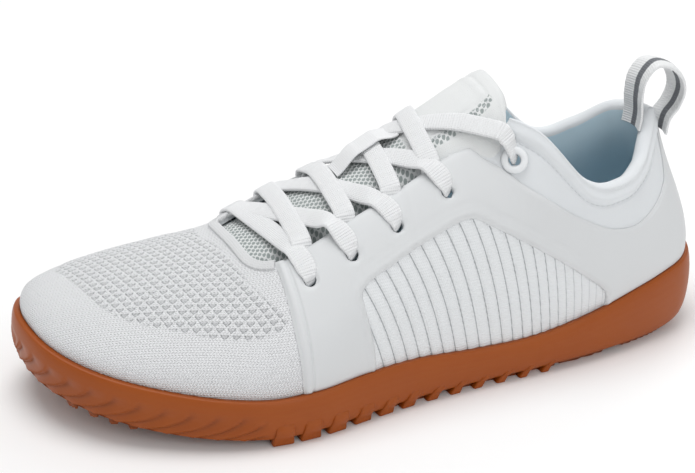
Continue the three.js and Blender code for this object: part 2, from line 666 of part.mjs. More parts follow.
// Side outline of the smooth overlay: its top seam from the throat back to the heel strip
const OVERLAY_SEAM = [
  { along: 0.420, height: 1.200 }, { along: 0.374, height: 1.030 }, { along: 0.342, height: 0.965 },
  { along: 0.318, height: 0.900 }, { along: 0.288, height: 0.835 }, { along: 0.255, height: 0.755 },
  { along: 0.223, height: 0.690 }, { along: 0.181, height: 0.622 }, { along: 0.136, height: 0.603 },
  { along: 0.100, height: 0.635 }, { along: 0.072, height: 0.700 }, { along: 0.058, height: 0.800 },
  { along: 0.054, height: 1.200 },
];
const OVERLAY_FRONT = { lateral: 0.664, medial: 0.706, lean: 0.006 };
// Side outline of the ribbed window, heights as shares of COLLAR_HEIGHT
const WINDOW = [
  { along: 0.548, height: 0.10 }, { along: 0.560, height: 0.33 }, { along: 0.569, height: 0.52 },
  { along: 0.566, height: 0.60 }, { along: 0.515, height: 0.675 }, { along: 0.462, height: 0.745 },
  { along: 0.418, height: 0.795 }, { along: 0.396, height: 0.793 }, { along: 0.363, height: 0.730 },
  { along: 0.320, height: 0.647 }, { along: 0.266, height: 0.527 }, { along: 0.222, height: 0.420 },
  { along: 0.197, height: 0.350 }, { along: 0.190, height: 0.300 }, { along: 0.200, height: 0.100 },
];

// A side outline pushed straight through one half of the shoe, and a gap's width past the middle line
function sideBlock(outline, side) {
  const reach = BALL_WIDTH * 0.8;
  const shape = new THREE.Shape(outline.map(([along, height]) => new THREE.Vector2(yAt(along), height)));
  const geometry = new THREE.ExtrudeGeometry(shape, { depth: reach, bevelEnabled: false });
  geometry.applyMatrix4(new THREE.Matrix4().makeBasis(
    new THREE.Vector3(0, 1, 0), new THREE.Vector3(0, 0, 1), new THREE.Vector3(1, 0, 0)));
  geometry.translate(side > 0 ? -GAP : GAP - reach, 0, 0);
  return solidOf(geometry);
}

// Everything below the sole's rim, with the gap that the overlay keeps above it
function belowRim() {
  const around = BALL_WIDTH * 0.1;
  return crossLoft((side, k) => {
    const out = edge(side, k, -around);
    const within = edge(side, k, SOLE_WALL + GAP);
    const top = out.rim + GAP;
    return [
      spread(side, k, -around, -out.base, 0),
      new THREE.Vector3(out.x, out.y, 0),
      new THREE.Vector3(out.x, out.y, top),
      new THREE.Vector3(within.x, within.y, top),
      spread(side, k, SOLE_WALL + GAP, top - within.base, 0),
    ];
  }, STATIONS);
}

function overlay() {
  const thick = shell(() => GAP + OVERLAY_THICKNESS, () => -GAP, 0);
  const region = [1, -1].map((side) => {
    const front = side > 0 ? OVERLAY_FRONT.lateral : OVERLAY_FRONT.medial;
    return sideBlock([
      [front - OVERLAY_FRONT.lean, 0], [front + OVERLAY_FRONT.lean, INSTEP_HEIGHT * 0.42],
      [front - OVERLAY_FRONT.lean, INSTEP_HEIGHT * 1.2],
      ...OVERLAY_SEAM.map((row) => [row.along, row.height * COLLAR_HEIGHT]),
      [-0.05, COLLAR_HEIGHT * 1.2], [-0.05, 0],
    ], side);
  });
  const windows = [1, -1].map((side) => sideBlock(
    WINDOW.map((row) => [row.along, row.height * COLLAR_HEIGHT]), side));
  return thick.intersect(joinAll(region)).subtract(joinAll(windows)).subtract(belowRim())
    .subtract(throatCut()).subtract(laceHoles(LACE_HOLE, RING_DIAMETER + GAP * 4));
}

// A value of a table whose rows run from toe to heel, read at a share of the length
function rowValue(table, name, along) {
  const next = table.findIndex((row) => row.along <= along);
  if (next < 0) return table[table.length - 1][name];
  if (next === 0) return table[0][name];
  const [a, b] = [table[next - 1], table[next]];
  return mix(a[name], b[name], (a.along - along) / (a.along - b.along));
}
const alongOf = (y) => 0.5 - y / SOLE_LENGTH;

// A closed slab between two grids of points, the first grid on its outer face
function slab(outer, inner) {
  const vertices = [];
  const [a, b] = [outer, inner].map((grid) =>
    grid.map((row) => row.map((point) => vertices.push(point) - 1)));
  const triangles = [];
  const quad = (p, q, r, t) => triangles.push([p, q, r], [p, r, t]);
  const rows = a.length - 1;
  const columns = a[0].length - 1;
  for (let i = 0; i < rows; i += 1) {
    for (let j = 0; j < columns; j += 1) {
      quad(a[i][j], a[i][j + 1], a[i + 1][j + 1], a[i + 1][j]);
      quad(b[i][j], b[i + 1][j], b[i + 1][j + 1], b[i][j + 1]);
    }
    quad(a[i][0], a[i + 1][0], b[i + 1][0], b[i][0]);
    quad(a[i][columns], b[i][columns], b[i + 1][columns], a[i + 1][columns]);
  }
  for (let j = 0; j < columns; j += 1) {
    quad(a[0][j], b[0][j], b[0][j + 1], a[0][j + 1]);
    quad(a[rows][j], a[rows][j + 1], b[rows][j + 1], b[rows][j]);
  }
  return meshOf(vertices, triangles);
}

// The insole lies on the sole's floor inside the upper
function insole() {
  const inset = SOLE_WALL + UPPER_WALL + GAP * 3;
  return crossLoft((side, k) => [SOLE_BASE + LUG_DEPTH + GAP, SOLE_BASE + LUG_DEPTH + GAP + INSOLE_THICKNESS]
    .flatMap((height, n) => {
      const row = [spread(side, k, inset, height, 0), spread(side, k, inset, height, 1)];
      return n ? row.reverse() : row;
    }), STATIONS);
}

// The tongue from under the vamp up to its padded top
// height: of its middle, share of TONGUE_HEIGHT. medial, lateral: its edges, shares of BALL_WIDTH.
// thick: share of TONGUE_THICKNESS.
const TONGUE = [
  { along: 0.720, height: 0.494, medial: -0.300, lateral: 0.200, thick: 0.5 },
  { along: 0.670, height: 0.540, medial: -0.330, lateral: 0.250, thick: 0.5 },
  { along: 0.632, height: 0.589, medial: -0.335, lateral: 0.255, thick: 0.6 },
  { along: 0.560, height: 0.686, medial: -0.335, lateral: 0.250, thick: 0.6 },
  { along: 0.510, height: 0.738, medial: -0.320, lateral: 0.235, thick: 0.7 },
  { along: 0.480, height: 0.778, medial: -0.290, lateral: 0.200, thick: 0.8 },
  { along: 0.455, height: 0.820, medial: -0.248, lateral: 0.158, thick: 0.9 },
  { along: 0.410, height: 0.890, medial: -0.237, lateral: 0.146, thick: 1.1 },
  { along: 0.370, height: 0.946, medial: -0.226, lateral: 0.138, thick: 1.3 },
  { along: 0.340, height: 0.982, medial: -0.215, lateral: 0.134, thick: 1.2 },
  { along: 0.328, height: 0.995, medial: -0.195, lateral: 0.118, thick: 0.9 },
  { along: 0.322, height: 1.000, medial: -0.160, lateral: 0.085, thick: 0.4 },
];
// Its cross section follows the last, and behind this place it keeps the last's shape there
const TONGUE_SHAPE_END = 0.405;
const TONGUE_MIDDLE = -0.09;
function tongueTop(x, along) {
  const y = yAt(Math.max(along, TONGUE_SHAPE_END));
  const profile = nearLast(x, y) - nearLast(TONGUE_MIDDLE * BALL_WIDTH, y);
  return rowValue(TONGUE, 'height', along) * TONGUE_HEIGHT + profile;
}

// Its thickness at the side edges, as a share of the middle's
const TONGUE_EDGE = 0.4;
const TONGUE_ROWS = 16;
const TONGUE_COLUMNS = 7;
function tongueSlab(grow) {
  const first = TONGUE[0].along + grow / SOLE_LENGTH;
  const last = TONGUE[TONGUE.length - 1].along - grow / SOLE_LENGTH;
  const outer = [];
  const inner = [];
  for (let i = 0; i <= TONGUE_ROWS; i += 1) {
    const along = mix(first, last, i / TONGUE_ROWS);
    const left = rowValue(TONGUE, 'medial', along) * BALL_WIDTH - grow;
    const right = rowValue(TONGUE, 'lateral', along) * BALL_WIDTH + grow;
    const thick = rowValue(TONGUE, 'thick', along) * TONGUE_THICKNESS;
    const row = [];
    for (let j = 0; j <= TONGUE_COLUMNS; j += 1) {
      const t = j / TONGUE_COLUMNS;
      const x = mix(left, right, t);
      const full = mix(TONGUE_EDGE, 1, Math.sqrt(Math.sin(Math.PI * t)));
      const top = tongueTop(x, along) - thick * (1 - full) / 2;
      const point = (z) => new THREE.Vector3(x, yAt(along), z);
      row.push([point(top + grow), point(top - thick * full - grow)]);
    }
    outer.push(row.map(([point]) => point));
    inner.push(row.map(([, point]) => point));
  }
  return slab(outer, inner);
}

// The room that the upper's wall takes, with the gap its neighbours keep
const upperRoom = () => shell(() => GAP, (point) => wallAt(point) + GAP, 0).subtract(
  block(throatOutline(-GAP), RIM_HEIGHT * 2, INSTEP_HEIGHT * 1.3));

const tongue = () => tongueSlab(0).subtract(upperRoom());

// The lace: flat bands from eyelet to eyelet, taut over what lies under them
const LACE_STEPS = 6;
const LACE_LOOKS = 5;
// How far the bands stand off what is under them, and the thickness of the top eyelets' rings
const LACE_CLEARANCE = 0.85;
const RING_THICKNESS = 1.4;

// Height of the overlay or tongue under the lace. The overlay counts up to the next look past its edge.
function laceBed(x, y) {
  const along = alongOf(y);
  const past = LACE_WIDTH / 4;
  const within = x > rowValue(THROAT, 'medial', along) * BALL_WIDTH + past
    && x < rowValue(THROAT, 'lateral', along) * BALL_WIDTH - past;
  if (within) return tongueTop(x, along);
  const last = onLast(x, y);
  return last ? last.z + (GAP + OVERLAY_THICKNESS) * last.rise : -Infinity;
}

// The lowest line over a row of heights that has no hollow in it
function taut(heights, share) {
  return heights.map((height, n) => {
    let best = height;
    for (let a = 0; a < n; a += 1) {
      for (let b = n + 1; b < heights.length; b += 1) {
        const t = (share(n) - share(a)) / (share(b) - share(a));
        best = Math.max(best, mix(heights[a], heights[b], t));
      }
    }
    return best;
  });
}

function laceBand(from, to, lift) {
  const run = new THREE.Vector3(to.at.x - from.at.x, to.at.y - from.at.y, 0);
  const across = new THREE.Vector3(-run.y, run.x, 0).normalize();
  const half = LACE_WIDTH / 2;
  const looks = LACE_STEPS * LACE_LOOKS;
  // The bed is looked at more often than the band bends, closer together towards both ends
  const share = (n) => (1 - Math.cos(Math.PI * n / looks)) / 2;
  const places = [];
  for (let n = 0; n <= looks; n += 1) {
    const middle = from.at.clone().addScaledVector(run, share(n));
    const at = (part) => middle.clone().addScaledVector(across, part * half);
    const [left, right] = [at(-1), at(1)].map((wing) => tongueTop(wing.x, alongOf(wing.y)));
    const slope = (right - left) / LACE_WIDTH;
    const heights = [-1, -0.5, 0, 0.5, 1].map((part) =>
      laceBed(at(part).x, at(part).y) - slope * part * half);
    places.push({ middle, slope, height: Math.max(...heights) });
  }
  const bed = taut(places.map(({ height }) => height), share);
  // Each bend is raised by what the straight runs beside it would cut off
  const bends = places.map((_, n) => n).filter((n) => n % LACE_LOOKS === 0);
  const short = bends.slice(1).map((b, m) => {
    const a = bends[m];
    const cuts = bed.slice(a, b + 1).map((height, n) =>
      height - mix(bed[a], bed[b], (share(a + n) - share(a)) / (share(b) - share(a))));
    return Math.max(...cuts);
  });
  const heights = bends.map((n, m) => bed[n] + Math.max(short[m - 1] ?? 0, short[m] ?? 0));
  const outer = [];
  const inner = [];
  bends.forEach((n, m) => {
    const { middle, slope } = places[n];
    const [before, after] = [Math.max(m - 1, 0), Math.min(m + 1, LACE_STEPS)];
    const side = across.clone().setZ(slope).normalize();
    const centre = middle.clone().setZ(heights[m] + LACE_CLEARANCE + lift);
    const part = share(bends[after]) - share(bends[before]);
    const ahead = run.clone().setZ((heights[after] - heights[before]) / part);
    const normal = ahead.cross(side).normalize();
    const row = [1, -1].map((part) => centre.clone().addScaledVector(side, part * half));
    inner.push(row);
    outer.push(row.map((point) => point.clone().addScaledVector(normal, LACE_THICKNESS)));
  });
  return slab(outer, inner);
}

function lace() {
  const holes = EYELETS[1].map((_, n) => ({ 1: eyelet(1, n), '-1': eyelet(-1, n) }));
  const bands = [laceBand(holes[0][1], holes[0][-1], 0)];
  for (let n = 0; n < TOP_EYELET; n += 1) {
    const lift = n + 1 === TOP_EYELET ? RING_THICKNESS : 0;
    bands.push(laceBand(holes[n][1], holes[n + 1][-1], lift));
    bands.push(laceBand(holes[n][-1], holes[n + 1][1], lift));
  }
  return joinAll(bands);
}

// The strap on the tongue that keeps the lace, a bridge over the crossing under it
const KEEPER = { front: 0.547, back: 0.455, x: -0.090, width: 11, steps: 12, foot: 0.02, ramp: 0.12 };
const KEEPER_HEIGHT = 6;
const KEEPER_THICKNESS = 1.2;
const KEEPER_CLEARANCE = 0.5;
function keeper() {
  const outer = [];
  const inner = [];
  for (let i = 0; i <= KEEPER.steps; i += 1) {
    const t = i / KEEPER.steps;
    const along = mix(KEEPER.front, KEEPER.back, t);
    const arch = KEEPER_CLEARANCE + KEEPER_HEIGHT * smooth(KEEPER.foot, KEEPER.ramp, Math.min(t, 1 - t));
    const row = [0, 0.25, 0.5, 0.75, 1].map((share) => {
      const x = KEEPER.x * BALL_WIDTH + (share - 0.5) * KEEPER.width;
      return new THREE.Vector3(x, yAt(along), tongueTop(x, along) + arch);
    });
    inner.push(row);
    outer.push(row.map((point) => point.clone().setZ(point.z + KEEPER_THICKNESS)));
  }
  return slab(outer, inner);
}

// A ring pressed into a top eyelet, its edges eased
const RING_EASE = 1;
function ring(side) {
  const { at, normal } = eyelet(side, TOP_EYELET);
  const [bore, rim] = [LACE_HOLE / 2, RING_DIAMETER / 2];
  const [inside, outside] = [bore + RING_EASE / 2, rim - RING_EASE];
  const profile = [[bore, 0], [rim, 0], [rim, 0.4], [outside, 1], [inside, 1], [bore, 0.5], [bore, 0]]
    .map(([radius, height]) => new THREE.Vector2(radius, height * (RING_THICKNESS - GAP)));
  const geometry = new THREE.LatheGeometry(profile, 12);
  geometry.rotateX(Math.PI / 2);
  return solidOf(standing(geometry, at.clone().addScaledVector(normal, GAP * 2), normal));
}

// The pull loop's side outline: from inside the collar over the top and down the heel
// along: share of SOLE_LENGTH. height: up to 1 a share of COLLAR_HEIGHT, from there to 2 the way on to
// LOOP_HEIGHT.
const LOOP = [
  { along: 0.0915, height: 0.954 }, { along: 0.0885, height: 1.088 }, { along: 0.0915, height: 1.407 },
  { along: 0.087, height: 1.795 }, { along: 0.066, height: 2.000 }, { along: 0.040, height: 1.932 },
  { along: 0.017, height: 1.681 }, { along: 0.010, height: 1.407 }, { along: 0.017, height: 1.088 },
  { along: 0.028, height: 0.941 }, { along: 0.025, height: 0.845 },
];
const loopHeight = (share) => (share < 1
  ? COLLAR_HEIGHT * share
  : mix(COLLAR_HEIGHT, LOOP_HEIGHT, share - 1));
// How far the webbing's edges curl back
const LOOP_CURL = 2;
const LOOP_STEPS = 2;
function pullLoop() {
  const path = new THREE.CatmullRomCurve3(LOOP.map((row) =>
    new THREE.Vector3(yAt(row.along), loopHeight(row.height), 0)));
  const steps = 18;
  const sides = [1, -1].map((side) => path.getSpacedPoints(steps).map((point, n) => {
    const tangent = path.getTangentAt(n / steps);
    return [point.x - tangent.y * side * LOOP_THICKNESS / 2, point.y + tangent.x * side * LOOP_THICKNESS / 2];
  }));
  const outline = [...sides[0], ...sides[1].reverse()];
  const shape = new THREE.Shape(outline.map(([u, v]) => new THREE.Vector2(u, v)));
  const geometry = new THREE.ExtrudeGeometry(shape,
    { depth: LOOP_WIDTH, steps: LOOP_STEPS, bevelEnabled: false });
  geometry.applyMatrix4(new THREE.Matrix4().makeBasis(
    new THREE.Vector3(0, 1, 0), new THREE.Vector3(0, 0, 1), new THREE.Vector3(1, 0, 0)));
  geometry.translate(-LOOP_WIDTH / 2, 0, 0);
  const position = geometry.getAttribute('position');
  for (let n = 0; n < position.count; n += 1) {
    const side = position.getX(n) / (LOOP_WIDTH / 2);
    position.setY(n, position.getY(n) - LOOP_CURL * side ** 2);
  }
  return solidOf(geometry);
}

const group = new THREE.Group();
function addPart(name, solid, color, roughness) {
  const material = new THREE.MeshStandardMaterial({ color, roughness, metalness: 0 });
  const mesh = new THREE.Mesh(geometryOf(solid), material);
  mesh.name = name;
  group.add(mesh);
}

const outsole = () => joinAll([soleCup(), plate(), heelPad(), ...chevrons(), ...toeBars(), ...edgeLugs()]);
addPart('outsole', outsole(), 0xa85a2c, 0.5);
addPart('upper', upper(), 0xe6e9ec, 0.9);
addPart('quarter_overlay', overlay(), 0xdadcde, 0.7);
addPart('insole', insole(), 0x9fb0bd, 0.9);
addPart('tongue', tongue(), 0xe2e6e4, 0.9);
addPart('lace', lace(), 0xf1f2f3, 0.85);
addPart('lace_keeper', keeper(), 0xe4e6e6, 0.9);
addPart('eyelet_lateral', ring(1), 0xd9dce0, 0.5);
addPart('eyelet_medial', ring(-1), 0xd9dce0, 0.5);
addPart('pull_loop', pullLoop(), 0xeceeee, 0.9);

// The origin goes under the middle of the whole shoe
const middle = new THREE.Box3().setFromObject(group).getCenter(new THREE.Vector3());
for (const mesh of group.children) mesh.geometry.translate(-middle.x, -middle.y, 0);

export default group;
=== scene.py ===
import math
from functools import partial

import bpy
import numpy as np
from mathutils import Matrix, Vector
from mathutils.bvhtree import BVHTree


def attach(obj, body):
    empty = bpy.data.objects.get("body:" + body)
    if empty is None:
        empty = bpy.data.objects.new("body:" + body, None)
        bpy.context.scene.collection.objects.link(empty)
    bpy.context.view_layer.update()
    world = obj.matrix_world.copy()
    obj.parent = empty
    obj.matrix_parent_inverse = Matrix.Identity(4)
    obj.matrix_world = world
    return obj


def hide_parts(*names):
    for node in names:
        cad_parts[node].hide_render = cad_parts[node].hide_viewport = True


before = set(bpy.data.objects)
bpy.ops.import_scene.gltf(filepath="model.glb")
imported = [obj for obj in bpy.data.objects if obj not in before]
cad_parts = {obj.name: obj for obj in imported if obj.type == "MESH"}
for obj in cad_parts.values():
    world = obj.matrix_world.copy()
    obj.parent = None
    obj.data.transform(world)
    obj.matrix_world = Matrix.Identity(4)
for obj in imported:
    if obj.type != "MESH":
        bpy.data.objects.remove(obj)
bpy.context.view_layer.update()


# Studio: a plain pale floor, one large soft light over the shoe and two weaker ones,
# and the camera at the photo's angle, low on the outer side with the toe to the left.
MM = 0.001


def plain_material(name, colour, roughness):
    material = bpy.data.materials.new(name)
    material.use_nodes = True
    shader = material.node_tree.nodes["Principled BSDF"]
    shader.inputs["Base Color"].default_value = (*colour, 1)
    shader.inputs["Roughness"].default_value = roughness
    return material


def area_light(name, place, aim, size, power):
    light = bpy.data.lights.new(name, "AREA")
    light.shape = "DISK"
    light.size = size
    light.energy = power
    lamp = bpy.data.objects.new(name, light)
    lamp.location = place
    lamp.rotation_euler = (Vector(aim) - Vector(place)).to_track_quat("-Z", "Y").to_euler()
    bpy.context.collection.objects.link(lamp)


FLOOR_HALF = 6
floor_mesh = bpy.data.meshes.new("studio_floor")
floor_corners = [(x * FLOOR_HALF, y * FLOOR_HALF, 0) for x, y in ((-1, -1), (1, -1), (1, 1), (-1, 1))]
floor_mesh.from_pydata(floor_corners, [], [(0, 1, 2, 3)])
floor_mesh.materials.append(plain_material("studio_floor", (0.93, 0.93, 0.93), 0.9))
studio_floor = bpy.data.objects.new("studio_floor", floor_mesh)
bpy.context.collection.objects.link(studio_floor)

WORLD_LIGHT = 0.56
world = bpy.data.worlds.new("studio")
world.use_nodes = True
backdrop = world.node_tree.nodes["Background"]
backdrop.inputs["Color"].default_value = (1, 1, 1, 1)
backdrop.inputs["Strength"].default_value = WORLD_LIGHT
bpy.context.scene.world = world
bpy.context.scene.view_settings.view_transform = "Standard"

area_light("key_light", (-0.15, -0.15, 1.5), (0, 0, 0.04), size=1.0, power=11)
area_light("side_light", (1.3, 0.35, 0.8), (0, 0, 0.03), size=0.9, power=4.2)
area_light("back_light", (-1.0, 0.9, 0.9), (0, 0, 0.05), size=0.8, power=4)

CAMERA_AZIMUTH = math.radians(68.3)
CAMERA_ELEVATION = math.radians(26.8)
CAMERA_DISTANCE = 0.649
CAMERA_TARGET = Vector((0.0011, 0, 0.040))
CAMERA_LENS, CAMERA_SHIFT = 83.1, (-0.0365, 0.0456)
camera_data = bpy.data.cameras.new("photo_camera")
camera_data.lens = CAMERA_LENS
camera_data.shift_x, camera_data.shift_y = CAMERA_SHIFT
camera = bpy.data.objects.new("photo_camera", camera_data)
camera_back = Vector((
    math.sin(CAMERA_AZIMUTH) * math.cos(CAMERA_ELEVATION),
    -math.cos(CAMERA_AZIMUTH) * math.cos(CAMERA_ELEVATION),
    math.sin(CAMERA_ELEVATION)))
camera.location = CAMERA_TARGET + camera_back * CAMERA_DISTANCE
camera.rotation_euler = camera_back.to_track_quat("Z", "Y").to_euler()
bpy.context.collection.objects.link(camera)
bpy.context.scene.camera = camera


# Sole: one moulding of gum rubber, a cup with a rounded wall and a thin lip, and a lugged tread.
# The wall is lofted round the outline, and the tread is a height field over it with every lug.
# The shoe's sizes are in millimetres and match the part's source, so each piece lies on its solid.
SOLE_LENGTH, BALL_WIDTH, RIM_HEIGHT, TOE_SPRING, HEEL_BEVEL = 285, 108, 20, 15, 8
GAP, LUG_DEPTH, SOLE_BASE, SOLE_WALL = 0.3, 3, 3, 4
ORIGIN_SHIFT = 1.079
# Stations from the heel to the toe: along, lateral, medial, rim, spring and bevel, as shares of the sizes
SOLE = np.array([
    (0.000, 0.000, 0.000, 1.70, 0.00, 1.00), (0.008, 0.140, 0.130, 1.65, 0.00, 0.66),
    (0.034, 0.232, 0.230, 1.56, 0.00, 0.30), (0.080, 0.292, 0.292, 1.47, 0.00, 0.04),
    (0.140, 0.335, 0.322, 1.31, 0.00, 0.00), (0.220, 0.370, 0.325, 1.06, 0.00, 0.00),
    (0.310, 0.388, 0.310, 0.88, 0.00, 0.00), (0.400, 0.398, 0.305, 0.89, 0.00, 0.00),
    (0.490, 0.418, 0.325, 1.00, 0.00, 0.00), (0.570, 0.454, 0.375, 1.02, 0.00, 0.00),
    (0.640, 0.490, 0.435, 0.98, 0.00, 0.00), (0.710, 0.494, 0.488, 0.98, 0.01, 0.00),
    (0.780, 0.450, 0.513, 1.08, 0.10, 0.00), (0.850, 0.368, 0.518, 1.24, 0.28, 0.00),
    (0.910, 0.264, 0.498, 1.40, 0.50, 0.00), (0.955, 0.140, 0.448, 1.55, 0.71, 0.00),
    (0.986, 0.000, 0.360, 1.72, 0.89, 0.00), (1.000, -0.185, 0.185, 1.84, 1.00, 0.00)])
LAST_ROW = len(SOLE) - 1
RING = np.vstack([
    np.c_[SOLE[:, 0], SOLE[:, 1], SOLE[:, 3:]],
    np.c_[SOLE[1:-1][::-1, 0], -SOLE[1:-1][::-1, 2], SOLE[1:-1][::-1, 3:]]])
EDGE_STEP = 0.02


def spline(a, b, c, d, t):
    return b + 0.5 * t * (c - a + t * (2 * a - 5 * b + 4 * c - d + t * (3 * (b - c) + d - a)))


def ring_at(place):
    row = np.floor(place).astype(int)
    value = lambda n: RING[n % len(RING)]
    return spline(value(row - 1), value(row), value(row + 1), value(row + 2), (place - row)[:, None])


def y_at(along):
    return SOLE_LENGTH * (0.5 - along)


def along_of(y):
    return 0.5 - y / SOLE_LENGTH


def edge(side, k, inset):
    """The sole's outline moved in by inset: x, y, outward direction, base and rim heights."""
    place = k * LAST_ROW if side > 0 else len(RING) - k * LAST_ROW
    row, a, b = ring_at(place), ring_at(place - EDGE_STEP), ring_at(place + EDGE_STEP)
    run = np.c_[(b[:, 1] - a[:, 1]) * BALL_WIDTH, -(b[:, 0] - a[:, 0]) * SOLE_LENGTH]
    run /= np.linalg.norm(run, axis=1)[:, None]
    out = np.c_[-run[:, 1], run[:, 0]]
    return {
        "x": row[:, 1] * BALL_WIDTH - out[:, 0] * inset,
        "y": y_at(row[:, 0]) - out[:, 1] * inset,
        "out": out,
        "base": np.maximum(row[:, 3] * TOE_SPRING + row[:, 4] * HEEL_BEVEL, 0),
        "rim": row[:, 2] * RIM_HEIGHT}


def smoothstep(low, high, value):
    t = np.clip((value - low) / (high - low), 0, 1)
    return t * t * (3 - 2 * t)


def outline_distance(outline, u, v):
    """Signed distance of the points (u, v) to a closed outline, positive inside."""
    a = np.asarray(outline, float)
    b = np.roll(a, -1, axis=0)
    flat = np.stack([np.ravel(u), np.ravel(v)], 1)
    nearest = np.full(len(flat), 1e9)
    inside = np.zeros(len(flat), bool)
    for p, q in zip(a, b):
        run = q - p
        t = np.clip(((flat - p) @ run) / max(run @ run, 1e-9), 0, 1)
        nearest = np.minimum(nearest, np.linalg.norm(flat - p - t[:, None] * run, axis=1))
        crosses = (p[1] > flat[:, 1]) != (q[1] > flat[:, 1])
        with np.errstate(divide="ignore", invalid="ignore"):
            at = (q[0] - p[0]) * (flat[:, 1] - p[1]) / (q[1] - p[1]) + p[0]
        inside ^= crosses & (flat[:, 0] < at)
    return (np.where(inside, 1, -1) * nearest).reshape(np.shape(u))


LEAST_KEEP = 0.02


def clip_grid(keep, *carried):
    """Cuts a grid of cells where the field keep goes below nought. Gives the faces and what is carried."""
    rows, columns = keep.shape
    flat = keep.ravel().copy()
    flat[np.abs(flat) < LEAST_KEEP] = LEAST_KEEP
    values = [c.reshape(rows * columns, -1) for c in carried]
    extra = [[] for _ in values]
    cuts, faces = {}, []
    whole = flat >= 0
    cells = whole.reshape(rows, columns)
    count = cells[:-1, :-1].astype(int) + cells[1:, :-1] + cells[1:, 1:] + cells[:-1, 1:]
    for i, j in zip(*np.nonzero(count)):
        near, far = i * columns + j, (i + 1) * columns + j
        corner = (near, far, far + 1, near + 1)
        if count[i, j] == 4:
            faces.append(corner)
            continue
        face = []
        for n, a in enumerate(corner):
            b = corner[(n + 1) % 4]
            if whole[a]:
                face.append(a)
            if whole[a] != whole[b]:
                key = (min(a, b), max(a, b))
                if key not in cuts:
                    cuts[key] = rows * columns + len(cuts)
                    t = flat[key[0]] / (flat[key[0]] - flat[key[1]])
                    for store, value in zip(extra, values):
                        store.append(value[key[0]] * (1 - t) + value[key[1]] * t)
                face.append(cuts[key])
        if len(face) > 2:
            faces.append(tuple(face))
    out = [np.vstack([value, np.array(store).reshape(-1, value.shape[1])])
           for value, store in zip(values, extra)]
    used = np.unique(np.concatenate([np.array(face) for face in faces]))
    order = np.full(len(out[0]), -1)
    order[used] = np.arange(len(used))
    return [tuple(int(order[n]) for n in face) for face in faces], [value[used] for value in out]


def piece(name, vertices, faces, materials, uv=None, smooth=True, face_material=None, marks=None):
    """A finished piece from points in millimetres in the source's own frame, with its place in its mesh."""
    mesh = bpy.data.meshes.new(name)
    moved = (np.asarray(vertices, float) + (ORIGIN_SHIFT, 0, 0)) * MM
    mesh.from_pydata(moved.tolist(), [], faces)
    for material in materials:
        mesh.materials.append(material)
    if smooth:
        mesh.polygons.foreach_set("use_smooth", [True] * len(mesh.polygons))
    if face_material is not None:
        mesh.polygons.foreach_set("material_index", list(face_material))
    if uv is not None:
        layer = mesh.uv_layers.new(name="flat")
        corners = np.empty(len(mesh.loops), int)
        mesh.loops.foreach_get("vertex_index", corners)
        layer.data.foreach_set("uv", (np.asarray(uv, float) * MM)[corners].ravel())
    for mark, values in (marks or {}).items():
        mesh.attributes.new(mark, "FLOAT", "POINT").data.foreach_set("value", np.asarray(values, float))
    mesh.validate()
    made = bpy.data.objects.new(name, mesh)
    bpy.context.collection.objects.link(made)
    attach(made, "root")
    return made


def joined(parts):
    """Several (vertices, faces, uv) meshes as one."""
    vertices, faces, uvs, start = [], [], [], 0
    for part in parts:
        vertices.append(np.asarray(part[0], float))
        faces += [tuple(n + start for n in face) for face in part[1]]
        uvs.append(part[2] if len(part) > 2 else np.zeros((len(part[0]), 2)))
        start += len(part[0])
    return np.vstack(vertices), faces, np.vstack(uvs)


# Effects that several materials use are node groups that give heights or masks only
def new_group(name, inputs, outputs):
    tree = bpy.data.node_groups.new(name, "ShaderNodeTree")
    for label, kind, value in inputs:
        socket = tree.interface.new_socket(label, in_out="INPUT", socket_type=kind)
        if value is not None:
            socket.default_value = value
    for label in outputs:
        tree.interface.new_socket(label, in_out="OUTPUT", socket_type="NodeSocketFloat")
    return tree, tree.nodes.new("NodeGroupInput"), tree.nodes.new("NodeGroupOutput")


def maths(tree, operation, *values):
    node = tree.nodes.new("ShaderNodeMath")
    node.operation = operation
    for n, value in enumerate(values):
        if isinstance(value, (int, float)):
            node.inputs[n].default_value = value
        else:
            tree.links.new(value, node.inputs[n])
    return node.outputs[0]


# fine_grain: soft unevenness at two scales
grain_group, start, end = new_group("fine_grain", [
    ("Vector", "NodeSocketVector", None), ("Scale", "NodeSocketFloat", 400.0)], ["Fine", "Broad"])
for label, factor in (("Fine", 1.0), ("Broad", 0.06)):
    noise = grain_group.nodes.new("ShaderNodeTexNoise")
    noise.inputs["Detail"].default_value = 4
    grain_group.links.new(start.outputs["Vector"], noise.inputs["Vector"])
    scale = maths(grain_group, "MULTIPLY", start.outputs["Scale"], factor)
    grain_group.links.new(scale, noise.inputs["Scale"])
    grain_group.links.new(noise.outputs["Fac"], end.inputs[label])


